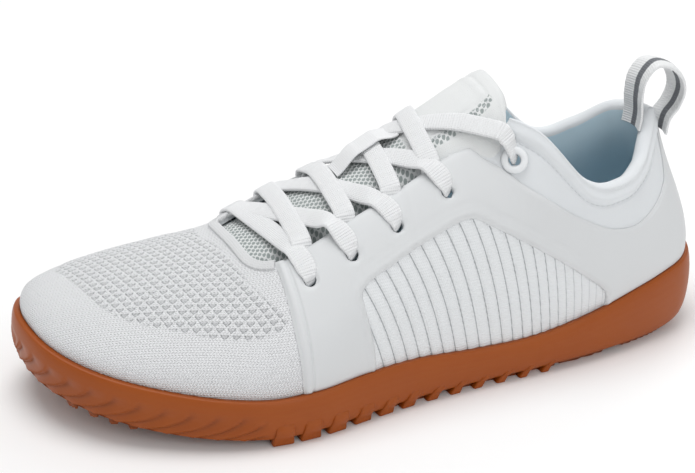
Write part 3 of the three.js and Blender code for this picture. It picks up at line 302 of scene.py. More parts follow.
class Finish:
    """One material under construction: its shader, and the nodes that feed it."""

    def __init__(self, name, colour, roughness, sheen=0.0, specular=0.5):
        self.material = plain_material(name, colour, roughness)
        self.tree = self.material.node_tree
        self.shader = self.tree.nodes["Principled BSDF"]
        self.shader.inputs["Sheen Weight"].default_value = sheen
        self.shader.inputs["Specular IOR Level"].default_value = specular
        self.colour = None
        self.height = None

    def coordinates(self, flat):
        if flat:
            node = self.tree.nodes.new("ShaderNodeUVMap")
            node.uv_map = "flat"
            return node.outputs["UV"]
        return self.tree.nodes.new("ShaderNodeTexCoord").outputs["Object"]

    def mark(self, name):
        node = self.tree.nodes.new("ShaderNodeAttribute")
        node.attribute_name = name
        return node.outputs["Fac"]

    def effect(self, group, flat, **values):
        node = self.tree.nodes.new("ShaderNodeGroup")
        node.node_tree = group
        self.tree.links.new(self.coordinates(flat), node.inputs["Vector"])
        for label, value in values.items():
            node.inputs[label].default_value = value
        return node.outputs

    def tint(self, mask, colour):
        mix = self.tree.nodes.new("ShaderNodeMix")
        mix.data_type = "RGBA"
        self.tree.links.new(mask, mix.inputs[0])
        if self.colour is None:
            mix.inputs[6].default_value = self.shader.inputs["Base Color"].default_value
        else:
            self.tree.links.new(self.colour, mix.inputs[6])
        mix.inputs[7].default_value = (*colour, 1)
        self.colour = mix.outputs[2]
        self.tree.links.new(self.colour, self.shader.inputs["Base Color"])

    def raise_by(self, height, amount):
        scaled = maths(self.tree, "MULTIPLY", height, amount)
        self.height = scaled if self.height is None else maths(self.tree, "ADD", self.height, scaled)

    def times(self, mask, other):
        return maths(self.tree, "MULTIPLY", mask, other)

    def grain(self, scale, amount, part="Fine"):
        self.raise_by(self.effect(grain_group, False, Scale=scale)[part], amount)

    def uneven_gloss(self, mask, low, high):
        node = self.tree.nodes.new("ShaderNodeMapRange")
        self.tree.links.new(mask, node.inputs["Value"])
        node.inputs["To Min"].default_value = low
        node.inputs["To Max"].default_value = high
        self.tree.links.new(node.outputs["Result"], self.shader.inputs["Roughness"])

    def done(self, strength=1.0):
        if self.height is not None:
            bump = self.tree.nodes.new("ShaderNodeBump")
            bump.inputs["Strength"].default_value = strength
            bump.inputs["Distance"].default_value = 1.0
            self.tree.links.new(self.height, bump.inputs["Height"])
            self.tree.links.new(bump.outputs["Normal"], self.shader.inputs["Normal"])
        return self.material


gum = Finish("gum_rubber", (0.30, 0.060, 0.003), 0.40, specular=0.32)
gum_grain = gum.effect(grain_group, False, Scale=900.0)
gum.tint(gum.times(gum_grain["Broad"], 0.35), (0.40, 0.100, 0.008))
# Painted shade: the fins' grooves on the wall and the grooves between the tread's lugs are darkened
gum.tint(gum.mark("shade"), (0.13, 0.024, 0.003))
gum.uneven_gloss(gum_grain["Broad"], 0.36, 0.52)
gum.raise_by(gum_grain["Fine"], 0.00004)
gum_rubber = gum.done()

# How far the wall lies inside the outline at each share of its height, from the tread to the lip
WALL_INSET = np.array([
    (0.00, 2.3), (0.015, 1.75), (0.06, 1.25), (0.14, 0.75), (0.25, 0.35), (0.40, 0.08),
    (0.55, 0.00), (0.70, 0.15), (0.85, 0.60), (0.94, 1.10), (0.985, 1.50), (1.00, 2.00)])
WALL_SHARES = np.r_[0, 0.015, np.linspace(0.04, 0.94, 24), 0.97, 0.985, 1.0]
SOLE_STATIONS = 380
even_stations = np.linspace(0, 1, SOLE_STATIONS + 1)
stations = 0.5 - 0.5 * np.cos(np.pi * even_stations)
stations = 0.5 * stations + 0.5 * even_stations


def loop_edge(inset):
    """The outline all the way round, moved in by inset."""
    parts = [edge(1, stations[:-1], inset), edge(-1, stations[::-1][:-1], inset)]
    return {key: np.concatenate([part[key] for part in parts]) for key in parts[0]}


def ring_skin(rings):
    """Faces between closed rings of equal length."""
    count, faces = len(rings[0]), []
    for r in range(len(rings) - 1):
        for n in range(count):
            m = (n + 1) % count
            faces.append((r * count + n, r * count + m, (r + 1) * count + m, (r + 1) * count + n))
    return np.vstack(rings), faces


def station_at(along):
    ks = np.linspace(0, 1, 600)
    return np.interp(along, ring_at(ks * LAST_ROW)[:, 0], ks)


def base_at(along):
    row = ring_at(np.ravel(station_at(along)) * LAST_ROW)
    return np.maximum(row[:, 3] * TOE_SPRING + row[:, 4] * HEEL_BEVEL, 0).reshape(np.shape(along))


def wall_inset(share):
    return float(np.interp(share, WALL_INSET[:, 0], WALL_INSET[:, 1]))


# Fins sweep down the wall towards the toe on both sides of the forefoot, like lapped scales
FIN_PITCH, FIN_SWEEP, FIN_CURVE, FIN_HEIGHT, FIN_DEPTH = 9.8, 19, 2.1, 0.74, 2.0
FIN_SLOPE, FIN_BACK, FIN_SWELL = 0.84, 0.16, 1.3
FIN_CUT, FIN_RISE, FIN_SHADE = 0.8, 0.2, 0.5
FIN_REACH, FIN_FADE = {1: 118, -1: 104}, 6
own = loop_edge(0)
ring_step = np.hypot(np.diff(own["x"], append=own["x"][0]), np.diff(own["y"], append=own["y"][0]))
ring_run = np.cumsum(ring_step) - ring_step
from_toe = np.abs(ring_run - ring_run[SOLE_STATIONS])
lateral_half = np.arange(len(ring_run)) < SOLE_STATIONS
fin_zone = np.where(lateral_half, smoothstep(FIN_REACH[1], FIN_REACH[1] - FIN_FADE, from_toe),
                    smoothstep(FIN_REACH[-1], FIN_REACH[-1] - FIN_FADE, from_toe))


def fin_relief(share):
    """How deep the wall lies behind the fins' crests at a share of its height, and how much painted shade
    darkens it.
    """
    low = np.clip(1 - share / FIN_HEIGHT, 0, 1)
    phase = (from_toe + FIN_SWEEP * low ** FIN_CURVE) / FIN_PITCH % 1
    saw = np.where(phase < FIN_SLOPE, (phase / FIN_SLOPE) ** FIN_SWELL, (1 - phase) / FIN_BACK)
    strength = fin_zone * smoothstep(FIN_HEIGHT, FIN_HEIGHT * 0.6, share)
    behind = FIN_DEPTH * strength * (1 - saw) * FIN_CUT - FIN_DEPTH * strength * FIN_RISE
    return behind, strength * smoothstep(0.25, 0.0, saw) * FIN_SHADE


BASE_BLEND = 0.3
LIP_DROPS = (0.1, 1.0)
wall_rings, wall_shade = [], []
for share in WALL_SHARES:
    inset = wall_inset(share)
    fin_shade = np.zeros(len(from_toe))
    if share > 0:
        behind_crest, fin_shade = fin_relief(share)
        inset = inset + behind_crest
    wall_shade.append(fin_shade)
    x, y = own["x"] - own["out"][:, 0] * inset, own["y"] - own["out"][:, 1] * inset
    low = (np.interp(share, [0, BASE_BLEND], [0, 1]) * own["base"]
           + np.interp(share, [0, BASE_BLEND], [1, 0]) * base_at(along_of(y))) + LUG_DEPTH
    wall_rings.append(np.c_[x, y, low + (own["rim"] - low) * share])
inner = loop_edge(SOLE_WALL)
for height in (*(inner["rim"] - drop for drop in LIP_DROPS), inner["base"] + LUG_DEPTH + SOLE_BASE):
    wall_rings.append(np.c_[inner["x"], inner["y"], height])
wall_vertices, wall_faces = ring_skin(wall_rings)
cup = len(wall_vertices) - len(inner["x"])
around = 2 * SOLE_STATIONS
for n in range(SOLE_STATIONS):
    strip = [cup + n, cup + n + 1, cup + around - n - 1, cup + (around - n) % around]
    wall_faces.append(tuple(dict.fromkeys(strip)))


def box_distance(u, v, width, length):
    return np.minimum(width / 2 - np.abs(u), length / 2 - np.abs(v))


# Tread: chevrons under the ball, short bars under the toes, square lugs along the inner edge, and a
# flat plate under the midfoot and heel with crossing cuts and one curved groove
CHEVRON_ROWS = [(0.655, -0.28, 0.35, 5), (0.700, -0.32, 0.37, 5), (0.745, -0.35, 0.36, 5),
                (0.790, -0.37, 0.30, 5), (0.835, -0.37, 0.22, 4)]
CHEVRON_WIDTH, CHEVRON_ARM, CHEVRON_SLOPE, CHEVRON_SHIFT, CHEVRON_TAPER = 10, 4.2, 0.7, 2.6, 0.82
BAR_FIRST, BAR_STEP, BAR_ROWS, BAR_SECTORS = 0.880, 0.0225, 4, 3
BAR_EDGE, BAR_GAP, BAR_LENGTH = 5, 2.2, 3.8
EDGE_LUG_FIRST, EDGE_LUG_STEP, EDGE_LUG_ROWS, EDGE_LUG_INSET = 0.655, 0.045, 5, 7
EDGE_LUG_WIDTH, EDGE_LUG_LENGTH = 8, 7
PLATE_FRONT, PLATE_BACK, PLATE_INSET = 0.625, 0.035, 2.2
PLATE_CUTS, CUT_ANGLE, CUT_WIDTH = (0.545, 0.450, 0.355), 0.62, 1.8
GROOVE_AT, GROOVE_CENTRE, GROOVE_RADIUS, GROOVE_HALF = 0.235, 46, 42.5, 3.5
TREAD_CELL, TREAD_HALF_WIDTH, TREAD_HALF_LENGTH = 0.9, 60, 144
LUG_SLOPE, LUG_BORDER, GROOVE_SHADE = 0.45, 0.6, 0.75
X, Y = np.meshgrid(np.arange(-TREAD_HALF_WIDTH, TREAD_HALF_WIDTH, TREAD_CELL),
                   np.arange(-TREAD_HALF_LENGTH, TREAD_HALF_LENGTH, TREAD_CELL), indexing="ij")
A = along_of(Y)
under = loop_edge(wall_inset(0))
inside_sole = outline_distance(np.c_[under["x"], under["y"]], X, Y)
lug_field = np.full(X.shape, -9.0)
for along, first, last, count in CHEVRON_ROWS:
    for n in range(count):
        u = X - (first + (last - first) * n / (count - 1)) * BALL_WIDTH
        w = Y - y_at(along) - np.abs(u) * CHEVRON_SLOPE + CHEVRON_SHIFT
        arm = CHEVRON_ARM / 2 - np.abs(w) * CHEVRON_TAPER
        lug_field = np.maximum(lug_field, np.minimum(CHEVRON_WIDTH / 2 - np.abs(u), arm))
for n in range(BAR_ROWS):
    along = BAR_FIRST + BAR_STEP * n
    k = np.array([station_at(along)])
    right, left = edge(1, k, BAR_EDGE)["x"][0], edge(-1, k, BAR_EDGE)["x"][0]
    pitch = (right - left) / BAR_SECTORS
    for m in range(BAR_SECTORS):
        bar = box_distance(X - left - pitch * (m + 0.5), Y - y_at(along), pitch - BAR_GAP, BAR_LENGTH)
        lug_field = np.maximum(lug_field, bar)
for n in range(EDGE_LUG_ROWS):
    along = EDGE_LUG_FIRST + EDGE_LUG_STEP * n
    x = edge(-1, np.array([station_at(along)]), EDGE_LUG_INSET)["x"][0]
    lug_field = np.maximum(lug_field, box_distance(X - x, Y - y_at(along), EDGE_LUG_WIDTH, EDGE_LUG_LENGTH))
plate = np.minimum(np.minimum(PLATE_FRONT - A, A - PLATE_BACK) * SOLE_LENGTH, inside_sole - PLATE_INSET)
for along in PLATE_CUTS:
    for turn in (CUT_ANGLE, -CUT_ANGLE):
        line = np.abs((Y - y_at(along)) * math.cos(turn) - X * math.sin(turn))
        plate = np.minimum(plate, line - CUT_WIDTH / 2)
heel_far = np.hypot(X, Y - (y_at(GROOVE_AT) + GROOVE_CENTRE))
heel_groove = GROOVE_HALF - np.abs(heel_far - GROOVE_RADIUS)
plate = np.minimum(plate, np.where(Y < y_at(GROOVE_AT) + GROOVE_CENTRE, -heel_groove, 9))
lug_field = np.maximum(lug_field, plate)
lug_height = smoothstep(-LUG_SLOPE, LUG_SLOPE, np.minimum(lug_field, inside_sole - LUG_BORDER))
tread_z = base_at(A) + LUG_DEPTH * (1 - lug_height)
# The tread's grooves carry painted shade, full on the groove floors
tread_faces, (tread_places, tread_shade) = clip_grid(
    inside_sole, np.stack([X, Y, tread_z], 2), (1 - lug_height) * GROOVE_SHADE)
tread_faces = [tuple(reversed(face)) for face in tread_faces]


# Six square tabs climb the outer wall, and six small slanted teeth follow them towards the heel:
# along, width, height, how far it stands proud, lean
SIDE_TABS = [(0.700, 8.6, 9.6, 1.0, 0.10), (0.660, 8.4, 9.4, 1.0, 0.10), (0.620, 8.0, 9.0, 1.0, 0.16),
             (0.580, 7.6, 8.6, 0.9, 0.24), (0.543, 6.6, 8.0, 0.9, 0.34), (0.508, 6.0, 7.4, 0.9, 0.42),
             (0.470, 5.0, 6.4, 0.8, 0.55), (0.434, 4.6, 6.0, 0.8, 0.60), (0.398, 4.2, 5.8, 0.7, 0.65),
             (0.362, 4.0, 5.6, 0.7, 0.65), (0.326, 3.8, 5.4, 0.7, 0.65), (0.290, 3.6, 5.2, 0.6, 0.65)]
TAB_RISES = (0.0, 0.04, 0.12, 0.3, 0.5, 0.7, 0.84, 0.93, 0.98, 1.0)
TAB_BACK, TAB_EASE, TAB_TAPER = 6.0, 0.55, 0.20
TAB_FOOT_IN, TAB_END_IN = 0.5, 0.4


def side_tab(along, width, top, proud, lean):
    """A lug that climbs the wall along its own curve, stands proud of it and rounds off on top."""
    k = np.array([station_at(along)])
    at = edge(1, k, 0)
    out = at["out"][0]
    run = np.array([-out[1], out[0]])
    start = np.array([at["x"][0], at["y"][0]])
    low, rim = at["base"][0] + LUG_DEPTH, at["rim"][0]
    rings = []
    for t in TAB_RISES:
        z = at["base"][0] + top * t
        share = max((z - low) / (rim - low), 0)
        stand = proud * (1 - smoothstep(0.72, 1.0, t)) - (TAB_FOOT_IN if t == 0 else 0)
        outer = wall_inset(share) - stand
        half = width / 2 * (1 - TAB_TAPER * t) - (TAB_END_IN if t in (0.0, 1.0) else 0)
        shift = lean * top * t
        plan = [(outer + TAB_EASE, -half), (outer, -half + TAB_EASE), (outer, half - TAB_EASE),
                (outer + TAB_EASE, half), (TAB_BACK, half), (TAB_BACK, -half)]
        rings.append(np.array([
            (*(start - out * inset + run * (across + shift)), z) for inset, across in plan]))
    vertices, faces = ring_skin(rings)
    sides = len(plan)
    last = sides * (len(rings) - 1)
    faces = [tuple(reversed(face)) for face in faces]
    return vertices, faces + [tuple(range(sides)), tuple(range(last, last + sides))[::-1]]


tabs = [side_tab(*row) for row in SIDE_TABS]
sole_vertices, sole_faces, _ = joined([(wall_vertices, wall_faces), (tread_places, tread_faces)] + tabs)
# Painted shade for the fins' grooves on the wall and for the tread's grooves
shade = np.zeros(len(sole_vertices))
shade[:len(from_toe) * len(wall_shade)] = np.concatenate(wall_shade)
shade[len(wall_vertices):len(wall_vertices) + len(tread_places)] = tread_shade[:, 0]
sole = piece("sole", sole_vertices, sole_faces, [gum_rubber], marks={"shade": shade})
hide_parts("outsole")


# Upper: the knitted body of the shoe, lasted over the whole form, thin over the toes and padded
# round the ankle, where the edge is turned over foam. Its inside is a pale blue brushed lining.
# The last's tables run from the heel to the toe along the sole, and v runs from the sole to the top.
COLLAR_HEIGHT, INSTEP_HEIGHT, TOE_HEIGHT = 89, 101, 57
COLLAR_PAD, UPPER_WALL = 6.5, 2
SKIRT = 0.12
RIDGE_ROW = 7
# along, x, collar, instep, toe, rise, bulge, reach, drop
LATERAL_TOP = np.array([
    (0.056, 0.000, 1.00, 0, 0, 0.33, 0.020, 0.10, 0.30),
    (0.067, 0.052, 0.98, 0, 0, 0.33, 0.020, 0.10, 0.30),
    (0.083, 0.106, 0.92, 0, 0, 0.33, 0.022, 0.10, 0.30),
    (0.108, 0.174, 0.83, 0, 0, 0.34, 0.024, 0.10, 0.30),
    (0.152, 0.244, 0.79, 0, 0, 0.35, 0.026, 0.10, 0.30),
    (0.214, 0.268, 0.83, 0, 0, 0.38, 0.022, 0.12, 0.30),
    (0.300, 0.225, 1.13, 0, 0, 0.50, 0.015, 0.30, 0.25),
    (0.385, -0.075, 0, 1.000, 0, 0.66, 0.010, 0.72, 0.04),
    (0.478, -0.092, 0, 0.895, 0, 0.62, 0.010, 0.72, 0),
    (0.560, -0.105, 0, 0.808, 0, 0.58, 0.020, 0.66, 0),
    (0.632, -0.118, 0, 0.700, 0, 0.53, 0.028, 0.64, 0),
    (0.705, -0.135, 0, 0, 1.065, 0.49, 0.032, 0.64, 0),
    (0.774, -0.160, 0, 0, 1.000, 0.48, 0.030, 0.64, 0),
    (0.832, -0.182, 0, 0, 0.948, 0.48, 0.026, 0.62, 0),
    (0.874, -0.198, 0, 0, 0.908, 0.50, 0.022, 0.60, 0),
    (0.898, -0.204, 0, 0, 0.882, 0.52, 0.018, 0.58, 0),
    (0.909, -0.206, 0, 0, 0.869, 0.54, 0.015, 0.56, 0),
    (0.912, -0.206, 0, 0, 0.866, 0.55, 0.014, 0.55, 0)])
# The inner side's stations as far as the toes. The last four are the same on both sides.
MEDIAL_START = np.array([
    (0.056, 0.000, 1.00, 0, 0, 0.33, 0.020, 0.10, 0.30),
    (0.064, -0.060, 1.005, 0, 0, 0.33, 0.020, 0.10, 0.30),
    (0.077, -0.122, 1.00, 0, 0, 0.33, 0.022, 0.10, 0.30),
    (0.100, -0.188, 0.97, 0, 0, 0.34, 0.024, 0.10, 0.30),
    (0.144, -0.246, 0.89, 0, 0, 0.35, 0.026, 0.10, 0.30),
    (0.208, -0.278, 0.86, 0, 0, 0.38, 0.030, 0.12, 0.30),
    (0.295, -0.270, 1.13, 0, 0, 0.48, 0.050, 0.30, 0.25),
    (0.385, -0.075, 0, 1.000, 0, 0.62, 0.080, 0.95, 0.04),
    (0.478, -0.092, 0, 0.895, 0, 0.61, 0.078, 0.92, 0),
    (0.560, -0.105, 0, 0.808, 0, 0.60, 0.060, 0.86, 0),
    (0.632, -0.118, 0, 0.700, 0, 0.57, 0.042, 0.76, 0),
    (0.705, -0.135, 0, 0, 1.065, 0.53, 0.032, 0.70, 0),
    (0.774, -0.160, 0, 0, 1.000, 0.50, 0.030, 0.66, 0),
    (0.832, -0.182, 0, 0, 0.948, 0.50, 0.026, 0.64, 0)])
MEDIAL_TOP = np.vstack([MEDIAL_START, LATERAL_TOP[len(MEDIAL_START):]])
TANGENT_STEP = 0.004


def table_at(table, k):
    place = np.clip(k, 0, 1) * (len(table) - 1)
    row = np.minimum(place.astype(int), len(table) - 2)
    value = lambda n: table[np.clip(n, 0, len(table) - 1)]
    return spline(value(row - 1), value(row), value(row + 1), value(row + 2), (place - row)[:, None])


def top_edge(side, k):
    t = table_at(LATERAL_TOP if side > 0 else MEDIAL_TOP, k)
    z = t[:, 2] * COLLAR_HEIGHT + t[:, 3] * INSTEP_HEIGHT + t[:, 4] * TOE_HEIGHT
    return np.c_[t[:, 1] * BALL_WIDTH, y_at(t[:, 0]), z], t


def last_points(side, k, v):
    """The upper's outer face, one row of points for each station k and one column for each rise v."""
    k, v = np.atleast_1d(np.asarray(k, float)), np.atleast_1d(np.asarray(v, float))
    foot = edge(side, k, SOLE_WALL + GAP)
    start = np.c_[foot["x"], foot["y"], foot["rim"]]
    end, t = top_edge(side, k)
    before = top_edge(side, np.maximum(k - TANGENT_STEP, 0))[0]
    after = top_edge(side, np.minimum(k + TANGENT_STEP, 1))[0]
    pitch = np.where(k > (RIDGE_ROW + 1) / LAST_ROW,
                     (after[:, 2] - before[:, 2]) / (after[:, 1] - before[:, 1]), 0)
    level = (start - end) * (1, 1, 0)
    width = np.linalg.norm(level, axis=1)
    level /= width[:, None]
    height = end[:, 2] - start[:, 2]
    reach = t[:, 7] * np.maximum(width, height * 0.2)
    swell = t[:, 6] * BALL_WIDTH
    one = start + np.c_[foot["out"] * swell[:, None], t[:, 5] * height]
    two = end + level * reach[:, None]
    two[:, 2] += pitch * level[:, 1] * reach - t[:, 8] * height
    s = np.clip((v - SKIRT) / (1 - SKIRT), 0, 1)[None, :, None]
    curve = ((1 - s) ** 3 * start[:, None] + 3 * (1 - s) ** 2 * s * one[:, None]
             + 3 * (1 - s) * s ** 2 * two[:, None] + s ** 3 * end[:, None])
    floor = (foot["base"] + LUG_DEPTH + SOLE_BASE + GAP)[:, None]
    low = np.minimum(v / SKIRT, 1)[None, :]
    curve[:, :, 2] -= (1 - low) * (foot["rim"][:, None] - floor)
    return curve


def flat_places(side, k, points):
    """Each point's place on the flat cloth: out from the ridge by its own arc length."""
    steps = np.linalg.norm(np.diff(points, axis=1), axis=2)
    arc = np.cumsum(steps[:, ::-1], axis=1)[:, ::-1]
    arc = np.c_[arc, np.zeros(len(arc))]
    top = points[:, -1, :2]
    foot = edge(side, np.atleast_1d(k), SOLE_WALL + GAP)
    toward = np.c_[foot["x"], foot["y"]] - top
    toward /= np.linalg.norm(toward, axis=1)[:, None]
    return top[:, None] + toward[:, None] * arc[:, :, None]


def rounded(outline, steps):
    """A closed outline with a smooth curve through its corners."""
    a = np.asarray(outline, float)
    n = len(a)
    t = np.arange(n * steps) / steps
    row = t.astype(int)
    return spline(a[(row - 1) % n], a[row % n], a[(row + 1) % n], a[(row + 2) % n], (t - row)[:, None])


# The throat's edges: along, outer x and inner x
THROAT_ROWS = np.array([
    (0.690, 0.120, -0.235), (0.660, 0.185, -0.258), (0.620, 0.196, -0.272), (0.560, 0.192, -0.275),
    (0.478, 0.174, -0.260), (0.400, 0.150, -0.240), (0.350, 0.145, -0.232), (0.328, 0.150, -0.236),
    (0.312, 0.160, -0.245)])
THROAT_FRONT = ((-0.205, 0.705), (-0.02, 0.699))
THROAT_BEHIND = 0.05


def throat_outline():
    lateral = [(x * BALL_WIDTH, y_at(a)) for a, x, _ in THROAT_ROWS]
    medial = [(x * BALL_WIDTH, y_at(a)) for a, _, x in THROAT_ROWS[::-1]]
    last_along, right, left = THROAT_ROWS[-1]
    front = [(x * BALL_WIDTH, y_at(a)) for x, a in THROAT_FRONT]
    back = [(x * BALL_WIDTH, y_at(last_along - THROAT_BEHIND)) for x in (right, left)]
    return np.array(front + lateral + back + medial)


def smooth_open(points, steps):
    a = np.asarray(points, float)
    t = np.linspace(0, len(a) - 1, (len(a) - 1) * steps + 1)
    row = np.minimum(t.astype(int), len(a) - 2)
    value = lambda n: a[np.clip(n, 0, len(a) - 1)]
    return spline(value(row - 1), value(row), value(row + 1), value(row + 2), (t - row)[:, None])


# The throat with its front corners rounded off, as the knit is cut and bound there
throat = throat_outline()
throat_line = np.vstack([smooth_open(np.vstack([throat[-8:], throat[:9]]), 5), throat[9:13]])


def side_points(rows):
    """Points of the side view, from shares of the sole's length and of the collar's height."""
    return [(y_at(a), h * COLLAR_HEIGHT) for a, h in rows]


WINDOW_LINE = rounded(side_points([
    (0.548, 0.00), (0.556, 0.20), (0.561, 0.36), (0.569, 0.52), (0.566, 0.60), (0.515, 0.675),
    (0.462, 0.745),
    (0.418, 0.795), (0.396, 0.793), (0.363, 0.730), (0.320, 0.647), (0.266, 0.527), (0.222, 0.420),
    (0.197, 0.350), (0.190, 0.300), (0.194, 0.200), (0.200, 0.00)]), 4)
SEAM_LINE = smooth_open(side_points([
    (0.420, 1.200), (0.374, 1.030), (0.342, 0.965), (0.318, 0.900), (0.288, 0.835), (0.255, 0.755),
    (0.223, 0.690), (0.181, 0.622), (0.136, 0.603), (0.100, 0.635), (0.072, 0.700), (0.058, 0.800),
    (0.054, 1.200)]), 4)
OVERLAY_FRONT = {1: 0.664, -1: 0.706}
EYELETS = {1: [(0.584, 0.580), (0.532, 0.565), (0.482, 0.580), (0.432, 0.600), (0.368, 0.785)],
           -1: [(0.620, 0.640), (0.575, 0.605), (0.524, 0.575), (0.471, 0.565), (0.425, 0.600)]}
LACE_HOLE = 5


def on_upper(side, k, v, step=TANGENT_STEP):
    """A place on the outer face with its outward normal."""
    grid = last_points(side, [k - step, k, k + step], [v - step, v, v + step])
    normal = np.cross(grid[1, 2] - grid[1, 0], grid[2, 1] - grid[0, 1]) * side
    return grid[1, 1], normal / np.linalg.norm(normal)


holes = {side: [on_upper(side, k, v) for k, v in EYELETS[side]] for side in (1, -1)}


def hole_distance(side, points, radii):
    """How far points lie outside the lace holes of one side."""
    keep = np.full(points.shape[:-1], 1e3)
    for (at, _), radius in zip(holes[side], radii):
        keep = np.minimum(keep, np.linalg.norm(points - at, axis=-1) - radius)
    return keep


def outside_throat(points):
    """Distance outside the throat, seen in plan."""
    return -outline_distance(throat_line, points[..., 0], points[..., 1])


def boundary_loops(faces):
    """Directed edges that only one face has."""
    edges = set()
    for face in faces:
        for n, a in enumerate(face):
            edges.add((a, face[(n + 1) % len(face)]))
    return [(a, b) for a, b in edges if (b, a) not in edges]


def mesh_normals(places, faces):
    triangles = np.array([(face[0], face[n], face[n + 1])
                          for face in faces for n in range(1, len(face) - 1)])
    a, b, c = places[triangles[:, 0]], places[triangles[:, 1]], places[triangles[:, 2]]
    flat = np.cross(b - a, c - a)
    total = np.zeros_like(places)
    for n in range(3):
        np.add.at(total, triangles[:, n], flat)
    return total / np.maximum(np.linalg.norm(total, axis=1), 1e-9)[:, None]


WELD_CELL, WELD_OFFSET = 0.02, 0.137


def welded(halves):
    """Clipped halves (faces, [places, ...]) as one mesh, points that fall together joined."""
    arrays = [np.vstack([half[1][n] for half in halves]) for n in range(len(halves[0][1]))]
    key = np.round(arrays[0] / WELD_CELL + WELD_OFFSET).astype(int)
    _, first, where = np.unique(key, axis=0, return_index=True, return_inverse=True)
    where = where.ravel()
    faces, start = [], 0
    for half_faces, half_arrays in halves:
        for face in half_faces:
            ids = [int(where[n + start]) for n in face]
            ids = [a for n, a in enumerate(ids) if a != ids[n - 1]]
            if len(set(ids)) == len(ids) > 2:
                faces.append(tuple(ids))
        start += len(half_arrays[0])
    return faces, [array[first] for array in arrays]


def half_panel(side, ks, vs, keep_of):
    """One side of a panel: its grid clipped by keep_of, with what its finish needs carried along."""
    points = last_points(side, ks, vs)
    K, V = np.meshgrid(ks, vs, indexing="ij")
    keep = keep_of(side, points, V)
    info = np.stack([K, V, np.full(K.shape, side), keep], 2)
    faces, arrays = clip_grid(keep, points, flat_places(side, ks, points), info)
    if side > 0:
        faces = [tuple(reversed(face)) for face in faces]
    return faces, arrays


def panel_over(ks, vs, keep_of):
    """Both sides of a panel, joined along the ridge."""
    return welded([half_panel(side, ks, vs, keep_of) for side in (1, -1)])


def skin_over(faces, places, outer, inner, arch=None, steps=6):
    """A closed skin over a panel's faces. Where arch is 1 its border is a half round, not a flat wall."""
    normals = mesh_normals(places, faces)
    count = len(places)
    top = places + normals * np.reshape(outer, (-1, 1))
    low = places + normals * np.reshape(inner, (-1, 1))
    closed = list(faces) + [tuple(n + count for n in reversed(face)) for face in faces]
    kinds = [0] * len(faces) + [1] * len(faces)
    vertices = [top, low]
    total = 2 * count
    strips = {}
    for a, b in boundary_loops(faces):
        if arch is None:
            closed.append((b, a, a + count, b + count))
            kinds.append(2)
            continue
        for n in (a, b):
            if n not in strips:
                span = np.linalg.norm(top[n] - low[n]) / 2
                t = np.arange(1, steps) / steps
                line = top[n] + (low[n] - top[n]) * ((1 - np.cos(np.pi * t)) / 2)[:, None]
                line[:, 2] += span * np.sin(np.pi * t) * arch[n]
                strips[n] = [n, *range(total, total + steps - 1), n + count]
                vertices.append(line)
                total += steps - 1
        for m in range(steps):
            closed.append((strips[b][m], strips[a][m], strips[a][m + 1], strips[b][m + 1]))
            kinds.append(2)
    return np.vstack(vertices), closed, kinds


def spread_values(values, total):
    """Values of the panel's points given to both sides of its skin, and nought to its border."""
    out = np.zeros((total,) + values.shape[1:])
    count = len(values)
    out[:count], out[count:2 * count] = values, values
    return out


def even_steps(stops):
    """Stations at the given spacings: (from, to, count) runs put end to end."""
    runs = [np.linspace(low, high, count, endpoint=False) for low, high, count in stops]
    return np.append(np.concatenate(runs), stops[-1][1])


def ridge(far, height, at, width):
    """A rounded ridge at a distance from a line."""
    return height * np.exp(-((far - at) / width) ** 2)


def spread_out(tree, vector):
    node = tree.nodes.new("ShaderNodeSeparateXYZ")
    tree.links.new(vector, node.inputs[0])
    return node.outputs[0], node.outputs[1], node.outputs[2]


# knit_stitches: columns of small V stitches
knit_group, start, end = new_group("knit_stitches", [
    ("Vector", "NodeSocketVector", None), ("Width", "NodeSocketFloat", 0.0014),
    ("Length", "NodeSocketFloat", 0.0011)], ["Height"])
calc = partial(maths, knit_group)
STITCH_SLANT, STITCH_BASE, STITCH_LOOP = 1.6, 0.6, 0.4
u, v, _ = spread_out(knit_group, start.outputs["Vector"])
across = calc("DIVIDE", u, start.outputs["Width"])
down = calc("DIVIDE", v, start.outputs["Length"])
from_middle = calc("ABSOLUTE", calc("SUBTRACT", calc("FRACT", across), 0.5))
leg = calc("SINE", calc("MULTIPLY", from_middle, 2 * math.pi))
slant = calc("ADD", down, calc("MULTIPLY", from_middle, STITCH_SLANT))
loop = calc("SINE", calc("MULTIPLY", slant, 2 * math.pi))
height = calc("MULTIPLY", leg, calc("ADD", STITCH_BASE, calc("MULTIPLY", loop, STITCH_LOOP)))
knit_group.links.new(height, end.inputs["Height"])


def knitted(finish, width, length, amount):
    """Raises small knit stitches along the piece's flat places."""
    finish.raise_by(finish.effect(knit_group, True, Width=width, Length=length)["Height"], amount)


collar = Finish("collar_cloth", (0.74, 0.765, 0.785), 0.8, sheen=0.15)
knitted(collar, 0.0007, 0.0006, 0.00004)
collar.grain(120.0, 0.00035)
collar_cloth = collar.done()

lining = Finish("lining", (0.66, 0.82, 0.90), 0.9, sheen=0.3)
knitted(lining, 0.0009, 0.0008, 0.00006)
lining_cloth = lining.done()

PAD_FROM, PAD_FULL, PAD_LAST_FULL, PAD_LAST = 0.42, 0.9, 4.6, 6.0
UNDER_SINK, SINK_FROM, SINK_FULL = 0.5, -3.0, -1.0
EDGE_LENGTH = 60
FOAM_SWELL, SEAM_FURROW = (0.9, 3.2, 2.2), (0.55, 6.6, 0.8)


def upper_keep(side, points, V):
    return np.minimum(outside_throat(points), hole_distance(side, points, [LACE_HOLE / 2] * 5))


